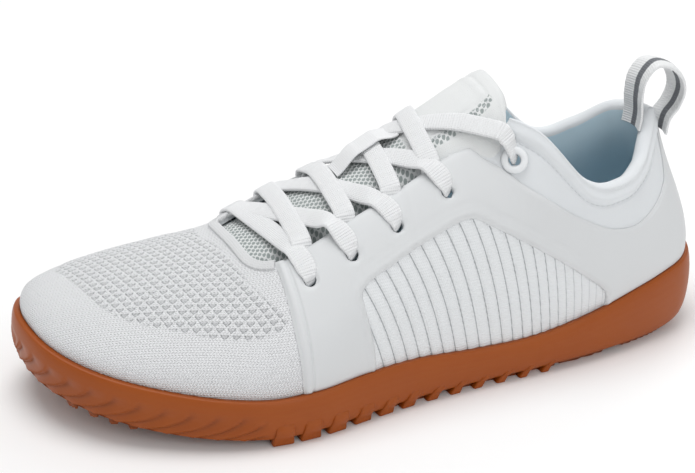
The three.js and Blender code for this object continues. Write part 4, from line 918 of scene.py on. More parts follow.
upper_ks = even_steps([(0, 0.06, 12), (0.06, 0.94, 150), (0.94, 1, 14)])
upper_vs = even_steps([(0, SKIRT, 3), (SKIRT, 0.86, 44), (0.86, 1, 16)])
upper_faces, (upper_at, upper_flat, upper_info) = panel_over(upper_ks, upper_vs, upper_keep)
K, V, SIDE = upper_info[:, 0], upper_info[:, 1], upper_info[:, 2]
pad = smoothstep(PAD_FROM, PAD_FULL, V) * (1 - smoothstep(PAD_LAST_FULL, PAD_LAST, K * LAST_ROW))
wall = UPPER_WALL + (COLLAR_PAD - UPPER_WALL) * pad
# The upper sinks a little under the windows' and the vamp's knit
in_window = outline_distance(WINDOW_LINE, upper_at[:, 1], upper_at[:, 2])
in_vamp = (along_of(upper_at[:, 1]) - np.where(SIDE > 0, OVERLAY_FRONT[1], OVERLAY_FRONT[-1])) * SOLE_LENGTH
sunk = UNDER_SINK * smoothstep(SINK_FROM, SINK_FULL, np.maximum(in_window, in_vamp))
topline = smoothstep(0.985, 0.999, V) * (K * LAST_ROW < RIDGE_ROW)
# A soft swelling of the foam under the collar seam, and the seam's furrow
edge_step = (1 - V) * EDGE_LENGTH
collar_zone = smoothstep(0.55, 0.7, V) * (1 - smoothstep(6.1, 6.9, K * LAST_ROW))
swell = collar_zone * (ridge(edge_step, *FOAM_SWELL) - ridge(edge_step, *SEAM_FURROW))
vertices, faces, kinds = skin_over(upper_faces, upper_at, -sunk + swell, -wall, topline)
upper = piece("upper_body", vertices, faces, [collar_cloth, lining_cloth, collar_cloth],
              uv=spread_values(upper_flat, len(vertices)), face_material=kinds)
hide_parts("upper")


# Vamp knit: the one-piece knitted front, plain fine ribs round the toes and a field of small
# scale-like openings over the joints, tucked under the overlay's front edges.
DIMPLE_ZONE = smooth_open([(-15.3, 0.736), (-6.4, 0.723), (21.9, 0.706), (37.5, 0.679), (41.3, 0.684),
                           (39.7, 0.734), (33.7, 0.782), (16.9, 0.866), (3.5, 0.897)], 3)
DIMPLE_ZONE = np.vstack([
    DIMPLE_ZONE, [(-30.0, 0.93), (-44.0, 0.90), (-50.0, 0.84), (-50.0, 0.74), (-36.0, 0.728)]])
DIMPLE_PITCH, DIMPLE_ROW, DIMPLE_TURN = 4.4, 2.5, math.radians(24)
DIMPLE_TIP, DIMPLE_FLARE, DIMPLE_HALF = 0.92, 0.62, 0.38
DIMPLE_EDGE, DIMPLE_SHADE, DIMPLE_DARKEST, DIMPLE_START = 14.0, 3.6, 0.74, 5.0

# scale_notches: painted shade in V-shaped openings in staggered rows, darkest along the lower edges
scales_group, start, end = new_group("scale_notches", [
    ("Vector", "NodeSocketVector", None), ("Pitch", "NodeSocketFloat", 0.0044),
    ("Row", "NodeSocketFloat", 0.0025)], ["Mask"])
calc = partial(maths, scales_group)
u, v, _ = spread_out(scales_group, start.outputs["Vector"])
row = calc("DIVIDE", u, start.outputs["Row"])
shift = calc("MULTIPLY", calc("FLOORED_MODULO", calc("FLOOR", row), 2.0), 0.5)
place = calc("FRACT", calc("ADD", calc("DIVIDE", v, start.outputs["Pitch"]), shift))
beside = calc("ABSOLUTE", calc("SUBTRACT", place, 0.5))
down = calc("FRACT", row)
reach = calc("MINIMUM", calc("MULTIPLY", calc("SUBTRACT", DIMPLE_TIP, down), DIMPLE_FLARE), DIMPLE_HALF)
depth = calc("SUBTRACT", reach, beside)
opening = calc("MINIMUM", calc("MAXIMUM", calc("MULTIPLY", depth, DIMPLE_EDGE), 0.0), 1.0)
shaded = calc("SUBTRACT", 1.0, calc("MINIMUM", calc("MULTIPLY", depth, DIMPLE_SHADE), DIMPLE_DARKEST))
begin = calc("MINIMUM", calc("MULTIPLY", down, DIMPLE_START), 1.0)
mask = calc("MULTIPLY", calc("MULTIPLY", opening, shaded), begin)
scales_group.links.new(mask, end.inputs["Mask"])

knit = Finish("knit", (0.81, 0.82, 0.835), 0.85, sheen=0.1)
knitted(knit, 0.0018, 0.0013, 0.00042)
notch_shade = knit.effect(scales_group, True)["Mask"]
# Painted shade in the scale-like openings over the joints
knit.tint(knit.times(notch_shade, knit.mark("zone")), (0.19, 0.20, 0.21))
knit.grain(1500.0, 0.00006)
knit_cloth = knit.done()


def scale_pits(flat, zone):
    """Depth 0..1 of the V-shaped openings, on the same rows as the finish draws them."""
    row = flat[:, 0] / DIMPLE_ROW
    beside = np.abs((flat[:, 1] / DIMPLE_PITCH + 0.5 * (np.floor(row) % 2)) % 1 - 0.5)
    down = row - np.floor(row)
    reach = np.minimum((DIMPLE_TIP - down) * DIMPLE_FLARE, DIMPLE_HALF)
    opening = smoothstep(-0.05, 0.16, reach - beside) * smoothstep(0.0, 0.3, down)
    return opening * smoothstep(-1.0, 1.0, zone)


VAMP_LAP, THROAT_MARGIN = 0.010, 0.6


def vamp_keep(side, points, V):
    front = (along_of(points[..., 1]) - OVERLAY_FRONT[side] + VAMP_LAP) * SOLE_LENGTH
    return np.minimum(front, outside_throat(points) - THROAT_MARGIN)


def outer_only(values, total):
    """A mark's values on a skin's outer points, and nought on the rest."""
    return np.r_[values, np.zeros(total - len(values))]


KNIT_UNDERSIDE = -0.9
VAMP_LIFT, FIELD_RISE, PIT_DEPTH, CREASE_DEPTH = 0.12, 0.28, 0.55, 0.6
vamp_ks = even_steps([(0.585, 0.72, 56), (0.72, 0.94, 80), (0.94, 1, 34)])
vamp_vs = even_steps([(SKIRT * 0.5, SKIRT, 2), (SKIRT, 1, 108)])
vamp_faces, (vamp_at, vamp_flat, vamp_info) = panel_over(vamp_ks, vamp_vs, vamp_keep)
zone = outline_distance(np.c_[DIMPLE_ZONE[:, 0], y_at(DIMPLE_ZONE[:, 1])], vamp_at[:, 0], vamp_at[:, 1])
cosine, sine = math.cos(DIMPLE_TURN), math.sin(DIMPLE_TURN)
vamp_cloth = vamp_flat @ np.array([[cosine, sine], [-sine, cosine]])
pits = scale_pits(vamp_cloth, zone)
# Two soft creases cross the toes where the foot bends
behind = along_of(vamp_at[:, 1])
creases = (ridge(((behind - 0.735) + vamp_at[:, 0] * 0.0002) * SOLE_LENGTH, 0.35, 0, 4.5)
           + ridge(((behind - 0.765) - vamp_at[:, 0] * 0.0003) * SOLE_LENGTH, 0.25, 0, 4.0))
outer = (VAMP_LIFT + FIELD_RISE * smoothstep(-1, 2, zone) - PIT_DEPTH * pits
         - creases * smoothstep(0.45, 0.8, vamp_info[:, 1]) * CREASE_DEPTH)
vertices, faces, kinds = skin_over(vamp_faces, vamp_at, outer, KNIT_UNDERSIDE)
vamp = piece("vamp_knit", vertices, faces, [knit_cloth], uv=spread_values(vamp_cloth, len(vertices)),
             marks={"zone": outer_only(smoothstep(-0.6, 0.6, zone), len(vertices))})


# Side windows: shingled knit bands that lean forward at the top, each lapping the next one's edge, narrower
# and straighter towards the heel. A thin line of painted shadow marks each lap.
BAND_PITCH, WINDOW_FRONT, WINDOW_LOW = 5.3, 0.60, 20
BAND_LEAN, BAND_CURVE, BAND_MOST, BAND_LEAST, BAND_STRAIGHT = 0.27, 0.0022, 1.1, 0.12, 112
HEEL_BANDS, HEEL_CROWDING = 62, 0.0011


def band_place(points):
    """Which band a point lies in, counted back from the window's front, in side view."""
    back = (WINDOW_FRONT - along_of(points[..., 1])) * SOLE_LENGTH
    height = points[..., 2] - WINDOW_LOW
    taper = np.clip(BAND_MOST - back / BAND_STRAIGHT, BAND_LEAST, BAND_MOST)
    place = back + BAND_LEAN * taper * height + BAND_CURVE * taper * np.clip(height, 0, 60) ** 2
    return place / BAND_PITCH + np.clip(place - HEEL_BANDS, 0, 100) ** 2 * HEEL_CROWDING


WINDOW_LAP = 1.4


def window_keep(side, points, V):
    return outline_distance(WINDOW_LINE, points[..., 1], points[..., 2]) + WINDOW_LAP


# woven_ribs: fine cross ribs of a flat woven cord or tape
ribs_group, start, end = new_group("woven_ribs", [
    ("Vector", "NodeSocketVector", None), ("Pitch", "NodeSocketFloat", 0.0012)], ["Height"])
calc = partial(maths, ribs_group)
u, v, _ = spread_out(ribs_group, start.outputs["Vector"])
rib = calc("SINE", calc("MULTIPLY", calc("DIVIDE", u, start.outputs["Pitch"]), 2 * math.pi))
warp = calc("SINE", calc("MULTIPLY", calc("DIVIDE", v, start.outputs["Pitch"]), 3 * math.pi))
height = calc("ADD", calc("MULTIPLY", rib, 0.7), calc("MULTIPLY", warp, 0.3))
ribs_group.links.new(height, end.inputs["Height"])


def ribbed(finish, pitch, amount):
    """Raises fine woven ribs along the piece's flat places."""
    finish.raise_by(finish.effect(ribs_group, True, Pitch=pitch)["Height"], amount)


LAP_SHADOW_FROM = 0.462
bands_knit = Finish("band_knit", (0.77, 0.79, 0.805), 0.82, sheen=0.1)
ribbed(bands_knit, 0.0011, 0.00007)
bands_knit.grain(1500.0, 0.00006)
calc = partial(maths, bands_knit.tree)
# Painted shadow: a thin dark line along each band's lap, fading towards the heel with the bands' relief
lap = calc("FRACT", bands_knit.mark("band"))
lap_shadow = calc("GREATER_THAN", calc("ABSOLUTE", calc("SUBTRACT", lap, 0.5)), LAP_SHADOW_FROM)
bands_knit.tint(calc("MULTIPLY", lap_shadow, bands_knit.mark("line")), (0.42, 0.44, 0.455))
band_cloth = bands_knit.done()

BAND_BASE, BAND_ROLL, BAND_LIP, BAND_SINK = 0.10, 0.62, 0.28, 0.35
BAND_SKEW, BAND_ROUND, BAND_FADE = 0.62, 0.75, 0.6
window_ks = even_steps([(0.16, 0.60, 330)])
window_vs = even_steps([(SKIRT * 0.7, SKIRT, 2), (SKIRT, 0.86, 42)])
for side, label in ((1, "window_bands_lateral"), (-1, "window_bands_medial")):
    band_faces, (band_at, _, _) = welded([half_panel(side, window_ks, window_vs, window_keep)])
    place = band_place(band_at)
    part = place - np.floor(place)
    roll = np.sin(np.pi * np.clip(part, 0, 1) ** BAND_SKEW) ** BAND_ROUND
    fade = 1 - BAND_FADE * smoothstep(16, 24, place)
    relief = (BAND_BASE + BAND_ROLL * roll + BAND_LIP * smoothstep(0.0, 0.1, part) * (1 - part)) * fade
    vertices, faces, kinds = skin_over(band_faces, band_at, relief - BAND_SINK, KNIT_UNDERSIDE)
    # The line mark sets how strong the painted shadow line is
    bands = piece(label, vertices, faces, [band_cloth],
                  uv=spread_values(np.c_[band_at[:, 2], place * BAND_PITCH], len(vertices)),
                  marks={"band": outer_only(place, len(vertices)), "line": outer_only(fade, len(vertices))})


# Quarter overlay: one smooth heat-fused film over the midfoot, eyestay and heel, cut open for the
# side windows, its front edge doubled by a second raised line.
film = Finish("overlay_film", (0.665, 0.68, 0.69), 0.48, specular=0.4)
film.grain(2200.0, 0.00003)
film.grain(60.0, 0.0006, "Broad")
film.uneven_gloss(film.effect(grain_group, False, Scale=300.0)["Broad"], 0.42, 0.56)
overlay_film = film.done()

OVERLAY_THICKNESS, RING_DIAMETER, RING_MARGIN = 1, 10.5, 0.5
FRONT_EDGE = [(-0.006, -20), (-0.006, 0), (0.004, 22), (0.006, 42), (0.003, 58), (-0.006, 120)]


def region_line(side):
    front = [(y_at(OVERLAY_FRONT[side] + step), z) for step, z in FRONT_EDGE]
    return np.vstack([front, SEAM_LINE, [(y_at(-0.05), 107), (y_at(-0.05), -20)]])


def overlay_keep(side, points, V):
    region = outline_distance(region_line(side), points[..., 1], points[..., 2])
    window = -outline_distance(WINDOW_LINE, points[..., 1], points[..., 2])
    low = (V - SKIRT * 0.92) * 90
    gaps = hole_distance(side, points, [LACE_HOLE / 2] * 4 + [RING_DIAMETER / 2 + RING_MARGIN])
    return np.minimum.reduce([region, window, outside_throat(points), low, gaps])


# Each raised or pressed line: its height, its place in from the edge, its half width
SECOND_LINE, FRONT_TUBE = (0.45, 4.2, 0.40), (0.40, 2.3, 1.1)
WINDOW_BEAD, EYESTAY_LINE = (0.35, 1.6, 0.8), (0.225, 5.4, 0.45)
EDGE_SHARE, EDGE_ROUND, FRONT_STEP, OVERLAY_UNDERSIDE = 0.25, 1.5, 1.2, 0.02
overlay_ks = even_steps([(0, 0.05, 16), (0.05, 0.555, 150), (0.555, 0.63, 80)])
overlay_vs = even_steps([(SKIRT * 0.9, SKIRT, 2), (SKIRT, 1, 84)])
overlay_faces, (overlay_at, overlay_flat, overlay_info) = panel_over(overlay_ks, overlay_vs, overlay_keep)
keep, height = overlay_info[:, 3], overlay_at[:, 2]
along = along_of(overlay_at[:, 1])
window_out = -outline_distance(WINDOW_LINE, overlay_at[:, 1], height)
front_along = np.where(overlay_info[:, 2] > 0, OVERLAY_FRONT[1], OVERLAY_FRONT[-1])
front_far = (front_along - along) * SOLE_LENGTH + FRONT_STEP
pillow = GAP + OVERLAY_THICKNESS * (
    EDGE_SHARE + (1 - EDGE_SHARE) * smoothstep(0, EDGE_ROUND, np.maximum(keep, 0)))
second_line = ridge(front_far, *SECOND_LINE) * (front_far < 8)
window_bead = ridge(window_out, *WINDOW_BEAD) * (height > WINDOW_LOW)
eyestay_line = (ridge(window_out, *EYESTAY_LINE) * smoothstep(44, 50, height)
                * smoothstep(0.60, 0.585, along))
outer = pillow - second_line + ridge(front_far, *FRONT_TUBE) + window_bead - eyestay_line
vertices, faces, kinds = skin_over(overlay_faces, overlay_at, outer, OVERLAY_UNDERSIDE)
quarter = piece("overlay", vertices, faces, [overlay_film], uv=spread_values(overlay_flat, len(vertices)))
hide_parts("quarter_overlay")


# Throat piping: the knit's own edge turned over a cord round the front of the throat. It lies on the
# last, and is swept along the throat's line with its width square to it.
LAST_STATIONS, LAST_RISES = 160, 50
PIPING_FROM, PIPING_TO = 26, 54
PIPING_WIDTH, PIPING_THICKNESS, PIPING_OUT, PIPING_LIFT, PIPING_SLOPE = 4.2, 2.2, 1.0, 0.25, 3.0
RAY_HEIGHT = 250
tree_faces, tree_places = [], []
for side in (1, -1):
    grid = last_points(side, np.linspace(0, 1, LAST_STATIONS), np.linspace(SKIRT, 1, LAST_RISES))
    start = len(tree_places) * LAST_STATIONS * LAST_RISES
    tree_places.append(grid.reshape(-1, 3))
    for i in range(LAST_STATIONS - 1):
        for j in range(LAST_RISES - 1):
            near, far = start + i * LAST_RISES + j, start + (i + 1) * LAST_RISES + j
            tree_faces.append((near, near + 1, far + 1, far))
last_tree = BVHTree.FromPolygons(np.vstack(tree_places).tolist(), tree_faces)


def on_last(x, y):
    """The last's height under a place in plan, and how much a skin's thickness adds to it there."""
    hit = last_tree.ray_cast(Vector((float(x), float(y), RAY_HEIGHT)), Vector((0, 0, -1)))
    return (hit[0].z, 1 / max(abs(hit[1].z), 0.3)) if hit[0] else (None, 1)


CORD_STEP, CORD_SIDES = 0.3, 16


def ribbon(path, sides, widths, thickness, pitch=0.9, ribbing=0.07):
    """A flat cord with round edges along a path of centres, its width along sides."""
    seg = np.linalg.norm(np.diff(path, axis=0), axis=1)
    run = np.r_[0, np.cumsum(seg)]
    steps = max(int(run[-1] / CORD_STEP), 8)
    s = np.linspace(0, run[-1], steps + 1)
    resample = lambda values: np.stack([np.interp(s, run, values[:, n]) for n in range(values.shape[1])], 1)
    centre, side = resample(path), resample(sides)
    width = np.interp(s, run, widths)
    tangent = np.gradient(centre, axis=0)
    tangent /= np.linalg.norm(tangent, axis=1)[:, None]
    side -= tangent * np.sum(side * tangent, axis=1)[:, None]
    side /= np.linalg.norm(side, axis=1)[:, None]
    up = np.cross(side, tangent)
    up *= np.sign(up[:, 2:3] + 1e-9)
    angle = np.linspace(0, 2 * np.pi, CORD_SIDES, endpoint=False)
    c, sn = np.cos(angle), np.sin(angle)
    across = np.sign(c) * np.abs(c) ** 0.55
    rise = np.sign(sn) * np.abs(sn) ** 0.6
    ribs = 1 + ribbing * np.sin(2 * np.pi * s / pitch)
    rings = (centre[:, None] + side[:, None] * (across * width[:, None] / 2)[:, :, None]
             + up[:, None] * (rise * (thickness / 2) * ribs[:, None])[:, :, None])
    vertices = rings.reshape(-1, 3)
    n = len(angle)
    faces = [(i * n + j, i * n + (j + 1) % n, (i + 1) * n + (j + 1) % n, (i + 1) * n + j)
             for i in range(steps) for j in range(n)]
    faces += [tuple(range(n))[::-1], tuple(range(steps * n, steps * n + n))]
    uv = np.stack([np.repeat(s, n), np.tile(across, steps + 1) * np.repeat(width, n) / 2], 1)
    normal = mesh_normals(vertices, faces)
    if np.sum(normal[:n] * (vertices[:n] - centre[0])) < 0:
        faces = [tuple(reversed(face)) for face in faces]
    return vertices, faces, uv


binding = Finish("binding_cloth", (0.74, 0.75, 0.76), 0.8, sheen=0.1)
knitted(binding, 0.0012, 0.0010, 0.00022)
binding.grain(200.0, 0.00030)
binding_cloth = binding.done()
piping_path, piping_sides = [], []
for n in range(PIPING_FROM, PIPING_TO + 1):
    run = throat_line[n + 1] - throat_line[n - 1]
    out = np.array([run[1], -run[0]]) / np.linalg.norm(run)
    if outside_throat(throat_line[n] + out) < 0:
        out = -out
    x, y = throat_line[n] + out * PIPING_OUT
    z = on_last(x, y)[0]
    slope = (on_last(*(throat_line[n] + out * PIPING_SLOPE))[0] - z) / (PIPING_SLOPE - PIPING_OUT)
    piping_path.append((x, y, z + PIPING_LIFT))
    piping_sides.append((out[0], out[1], slope))
vertices, faces, uv = ribbon(np.array(piping_path), np.array(piping_sides),
                             np.full(len(piping_path), PIPING_WIDTH), PIPING_THICKNESS, ribbing=0.0)
piping = piece("throat_piping", vertices, faces, [binding_cloth], uv=uv)


# Tongue: open spacer mesh from under the vamp up, then a smooth padded panel with two stitched
# edges and a strip of mesh holes beside it, and a soft rolled top.
TONGUE_HEIGHT, TONGUE_THICKNESS = 114, 4
# along, height, inner x, outer x, thickness
TONGUE = np.array([
    (0.720, 0.494, -0.300, 0.200, 0.5), (0.670, 0.540, -0.330, 0.250, 0.5),
    (0.632, 0.589, -0.335, 0.255, 0.6), (0.560, 0.686, -0.335, 0.250, 0.6),
    (0.510, 0.738, -0.320, 0.235, 0.7), (0.480, 0.778, -0.290, 0.200, 0.8),
    (0.455, 0.820, -0.248, 0.190, 0.9), (0.410, 0.890, -0.237, 0.196, 1.1),
    (0.370, 0.946, -0.226, 0.196, 1.3), (0.340, 0.982, -0.215, 0.184, 1.2),
    (0.328, 0.995, -0.195, 0.160, 0.9), (0.322, 1.000, -0.160, 0.115, 0.4)])
TONGUE_SHAPE_END, TONGUE_MIDDLE = 0.405, -0.09
TONGUE_WING, DROOP, DROOP_ROUND, OFF_LAST = 9, 0.85, 1.5, 12


def tongue_row(column, along):
    return np.interp(along, TONGUE[::-1, 0], TONGUE[::-1, column])


def tongue_top(x, along):
    """The tongue's top at a place: the last's own profile there, with the outer edge drooping."""
    y = y_at(max(along, TONGUE_SHAPE_END))
    here, middle = on_last(x, y)[0], on_last(TONGUE_MIDDLE * BALL_WIDTH, y)[0]
    profile = (here if here is not None else middle - OFF_LAST) - middle
    droop = DROOP * (math.hypot(max(x - TONGUE_WING, 0), DROOP_ROUND) - DROOP_ROUND)
    return float(tongue_row(1, along)) * TONGUE_HEIGHT + profile - droop


MESH_PITCH, MESH_ROW = 2.5, 0.62

# staggered_holes: 1 in the middle of each hole and 0 between them, every second row shifted
holes_group, start, end = new_group("staggered_holes", [
    ("Vector", "NodeSocketVector", None), ("Pitch", "NodeSocketFloat", 0.0022),
    ("Open", "NodeSocketFloat", 0.36)], ["Mask"])
HOLE_SOFTNESS, AWAY_FROM_NOUGHT = 0.09, 500
calc = partial(maths, holes_group)
u, v, _ = spread_out(holes_group, start.outputs["Vector"])
row = calc("DIVIDE", v, calc("MULTIPLY", start.outputs["Pitch"], MESH_ROW))
shift = calc("MULTIPLY", calc("FLOORED_MODULO", calc("FLOOR", row), 2.0), 0.5)
column = calc("ADD", calc("DIVIDE", u, start.outputs["Pitch"]), AWAY_FROM_NOUGHT)
dx = calc("SUBTRACT", calc("FRACT", calc("ADD", column, shift)), 0.5)
dy = calc("MULTIPLY", calc("SUBTRACT", calc("FRACT", row), 0.5), MESH_ROW)
far = calc("SQRT", calc("ADD", calc("MULTIPLY", dx, dx), calc("MULTIPLY", dy, dy)))
edge_low = calc("SUBTRACT", start.outputs["Open"], HOLE_SOFTNESS)
mask = holes_group.nodes.new("ShaderNodeMapRange")
mask.interpolation_type = "SMOOTHSTEP"
holes_group.links.new(far, mask.inputs["Value"])
holes_group.links.new(edge_low, mask.inputs["From Min"])
holes_group.links.new(start.outputs["Open"], mask.inputs["From Max"])
mask.inputs["To Min"].default_value = 1
mask.inputs["To Max"].default_value = 0
holes_group.links.new(mask.outputs["Result"], end.inputs["Mask"])

mesh_cloth = Finish("tongue_mesh", (0.77, 0.785, 0.785), 0.85, sheen=0.15)
mesh_hole_shade = mesh_cloth.effect(holes_group, True, Pitch=MESH_PITCH * MM, Open=0.37)["Mask"]
# Painted shade: the mesh holes are darkened where shade falls inside them
mesh_cloth.tint(mesh_cloth.times(mesh_hole_shade, mesh_cloth.mark("mesh")), (0.33, 0.37, 0.365))
knitted(mesh_cloth, 0.0009, 0.0008, 0.00008)
tongue_mesh = mesh_cloth.done()

TONGUE_FRONT, TONGUE_BACK = 0.720, 0.3205
TONGUE_ROWS, TONGUE_COLUMNS, TONGUE_SAMPLES = 210, 84, 22
EDGE_FULLNESS, CLOTH_SLOPE = 0.4, 1.15
ts, coarse = np.linspace(0, 1, TONGUE_COLUMNS + 1), np.linspace(0, 1, TONGUE_SAMPLES)
full = EDGE_FULLNESS + (1 - EDGE_FULLNESS) * np.sqrt(np.maximum(np.sin(np.pi * ts), 0))
tongue_places, tongue_lows, tongue_uv = [], [], []
for i in range(TONGUE_ROWS + 1):
    along = TONGUE_FRONT + (TONGUE_BACK - TONGUE_FRONT) * i / TONGUE_ROWS
    left, right = tongue_row(2, along) * BALL_WIDTH, tongue_row(3, along) * BALL_WIDTH
    thick = tongue_row(4, along) * TONGUE_THICKNESS
    tops = np.interp(ts, coarse, [tongue_top(left + (right - left) * t, along) for t in coarse])
    top = tops - thick * (1 - full) / 2
    across = left + (right - left) * ts
    tongue_places.append(np.c_[across, np.full(len(ts), y_at(along)), top])
    tongue_lows.append(top - thick * full)
    tongue_uv.append(np.c_[across, np.full(len(ts), (TONGUE_FRONT - along) * SOLE_LENGTH * CLOTH_SLOPE)])
tongue_places, tongue_lows, tongue_uv = np.array(tongue_places), np.array(tongue_lows), np.array(tongue_uv)
# The profile is softened lengthwise, as cloth does
for _ in range(3):
    inner_rows = (tongue_places[:-2, :, 2] + 2 * tongue_places[1:-1, :, 2] + tongue_places[2:, :, 2]) / 4
    tongue_lows[1:-1] += inner_rows - tongue_places[1:-1, :, 2]
    tongue_places[1:-1, :, 2] = inner_rows
tongue_along = along_of(tongue_places[:, :, 1])
x_here = tongue_places[:, :, 0]
left_edge, right_edge = (np.array([tongue_row(column, a) * BALL_WIDTH for a in tongue_along[:, 0]])[:, None]
                         for column in (2, 3))
# The padded panel, the strip of holes beside it, and the mesh below
PANEL_FRONT, PANEL_BACK, PANEL_LEFT, PANEL_RIGHT = 0.452, 0.338, 4.5, 14.5
STRIP_BACK, STRIP_LEFT, STRIP_RIGHT = 0.336, 13.2, 9.6
PANEL_PUFF, TOP_ROLL, PUFF_SHARE, HOLE_DEPTH, PANEL_SEAM = 1.1, 1.0, 0.7, 0.55, (0.5, 0.2, 0.5)
panel_low = (PANEL_FRONT - tongue_along) * SOLE_LENGTH
panel_side = np.minimum(x_here - left_edge - PANEL_LEFT, right_edge - PANEL_RIGHT - x_here)
panel = np.minimum(np.minimum(panel_low, panel_side), (tongue_along - PANEL_BACK) * SOLE_LENGTH)
strip = np.minimum(x_here - (right_edge - STRIP_LEFT), (right_edge - STRIP_RIGHT) - x_here)
strip = np.minimum(np.minimum(strip, panel_low), (tongue_along - STRIP_BACK) * SOLE_LENGTH)
holes_zone = np.maximum(np.minimum(-panel_low - 1.0, 99), strip * 3)
u_hole, v_hole = tongue_uv[:, :, 0] / MESH_PITCH, tongue_uv[:, :, 1] / (MESH_PITCH * MESH_ROW)
row_of = np.floor(v_hole)
hx = (u_hole + 0.5 * (row_of % 2)) % 1 - 0.5
hy = (v_hole - row_of - 0.5) * MESH_ROW
hole = smoothstep(0.34, 0.20, np.hypot(hx, hy * 1.1)) * smoothstep(0.0, 1.0, holes_zone)
near_top = 6 - np.abs(tongue_along - 0.332) * SOLE_LENGTH
puff = PANEL_PUFF * smoothstep(0.0, 3.5, panel) + TOP_ROLL * smoothstep(
    0.372, 0.334, tongue_along) * smoothstep(-0.5, 3, near_top)
tongue_places[:, :, 2] += puff * PUFF_SHARE - HOLE_DEPTH * hole - ridge(panel, *PANEL_SEAM)
rows, columns = TONGUE_ROWS + 1, TONGUE_COLUMNS + 1
count = rows * columns
low_places = tongue_places.copy()
low_places[:, :, 2] = tongue_lows
grid_faces = []
for i in range(rows - 1):
    for j in range(columns - 1):
        near, far = i * columns + j, (i + 1) * columns + j
        grid_faces.append((far, far + 1, near + 1, near))
all_faces = grid_faces + [tuple(n + count for n in reversed(face)) for face in grid_faces]
all_faces += [(b, a, a + count, b + count) for a, b in boundary_loops(grid_faces)]
vertices = np.vstack([tongue_places.reshape(-1, 3), low_places.reshape(-1, 3)])
tongue = piece("tongue_body", vertices, all_faces, [tongue_mesh],
               uv=np.vstack([tongue_uv.reshape(-1, 2)] * 2),
               marks={"mesh": outer_only(smoothstep(-0.3, 0.3, holes_zone).ravel(), len(vertices))})
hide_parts("tongue")


# Stitches: one thread round the collar's foam and one along each edge of the tongue's panel. Each
# stitch is one rounded bead, set along its line by Geometry Nodes.
def stitch_tree(material):
    tree = bpy.data.node_groups.new("stitches", "GeometryNodeTree")
    tree.interface.new_socket("Geometry", in_out="INPUT", socket_type="NodeSocketGeometry")
    for label in ("Pitch", "Length", "Thickness"):
        tree.interface.new_socket(label, in_out="INPUT", socket_type="NodeSocketFloat")
    tree.interface.new_socket("Geometry", in_out="OUTPUT", socket_type="NodeSocketGeometry")
    start, end = tree.nodes.new("NodeGroupInput"), tree.nodes.new("NodeGroupOutput")
    line = tree.nodes.new("GeometryNodeMeshToCurve")
    tree.links.new(start.outputs["Geometry"], line.inputs["Mesh"])
    even = tree.nodes.new("GeometryNodeResampleCurve")
    even.mode = "LENGTH"
    tree.links.new(line.outputs["Curve"], even.inputs["Curve"])
    tree.links.new(start.outputs["Pitch"], even.inputs["Length"])
    ball = tree.nodes.new("GeometryNodeMeshIcoSphere")
    ball.inputs["Radius"].default_value = 0.5
    ball.inputs["Subdivisions"].default_value = 2
    size = tree.nodes.new("ShaderNodeCombineXYZ")
    tree.links.new(start.outputs["Length"], size.inputs["X"])
    tree.links.new(start.outputs["Thickness"], size.inputs["Y"])
    tree.links.new(start.outputs["Thickness"], size.inputs["Z"])
    along = tree.nodes.new("FunctionNodeAlignRotationToVector")
    along.axis = "X"
    tangent_node = tree.nodes.new("GeometryNodeInputTangent")
    tree.links.new(tangent_node.outputs["Tangent"], along.inputs["Vector"])
    each = tree.nodes.new("GeometryNodeInstanceOnPoints")
    tree.links.new(even.outputs["Curve"], each.inputs["Points"])
    tree.links.new(ball.outputs["Mesh"], each.inputs["Instance"])
    tree.links.new(along.outputs["Rotation"], each.inputs["Rotation"])
    tree.links.new(size.outputs["Vector"], each.inputs["Scale"])
    real = tree.nodes.new("GeometryNodeRealizeInstances")
    tree.links.new(each.outputs["Instances"], real.inputs["Geometry"])
    coat = tree.nodes.new("GeometryNodeSetMaterial")
    coat.inputs["Material"].default_value = material
    tree.links.new(real.outputs["Geometry"], coat.inputs["Geometry"])
    tree.links.new(coat.outputs["Geometry"], end.inputs["Geometry"])
    return tree


def stitched(name, lines, pitch, length, thickness, material):
    """Threads laid along lines of points, as one plain mesh."""
    vertices, edges = [], []
    for line in lines:
        edges += [(len(vertices) + n, len(vertices) + n + 1) for n in range(len(line) - 1)]
        vertices += [((x + ORIGIN_SHIFT) * MM, y * MM, z * MM) for x, y, z in line]
    mesh = bpy.data.meshes.new(name + "_lines")
    mesh.from_pydata(vertices, edges, [])
    lines_object = bpy.data.objects.new(name + "_lines", mesh)
    bpy.context.collection.objects.link(lines_object)
    tree = stitch_tree(material)
    modifier = lines_object.modifiers.new("stitches", "NODES")
    modifier.node_group = tree
    values = {"Pitch": pitch * MM, "Length": length * MM, "Thickness": thickness * MM}
    for item in tree.interface.items_tree:
        if item.in_out == "INPUT" and item.name in values:
            modifier[item.identifier] = values[item.name]
    bpy.context.view_layer.update()
    seen = lines_object.evaluated_get(bpy.context.evaluated_depsgraph_get())
    made_mesh = bpy.data.meshes.new_from_object(seen)
    made_mesh.name = name
    made_mesh.polygons.foreach_set("use_smooth", [True] * len(made_mesh.polygons))
    bpy.data.objects.remove(lines_object)
    made = bpy.data.objects.new(name, made_mesh)
    bpy.context.collection.objects.link(made)
    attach(made, "root")
    return made


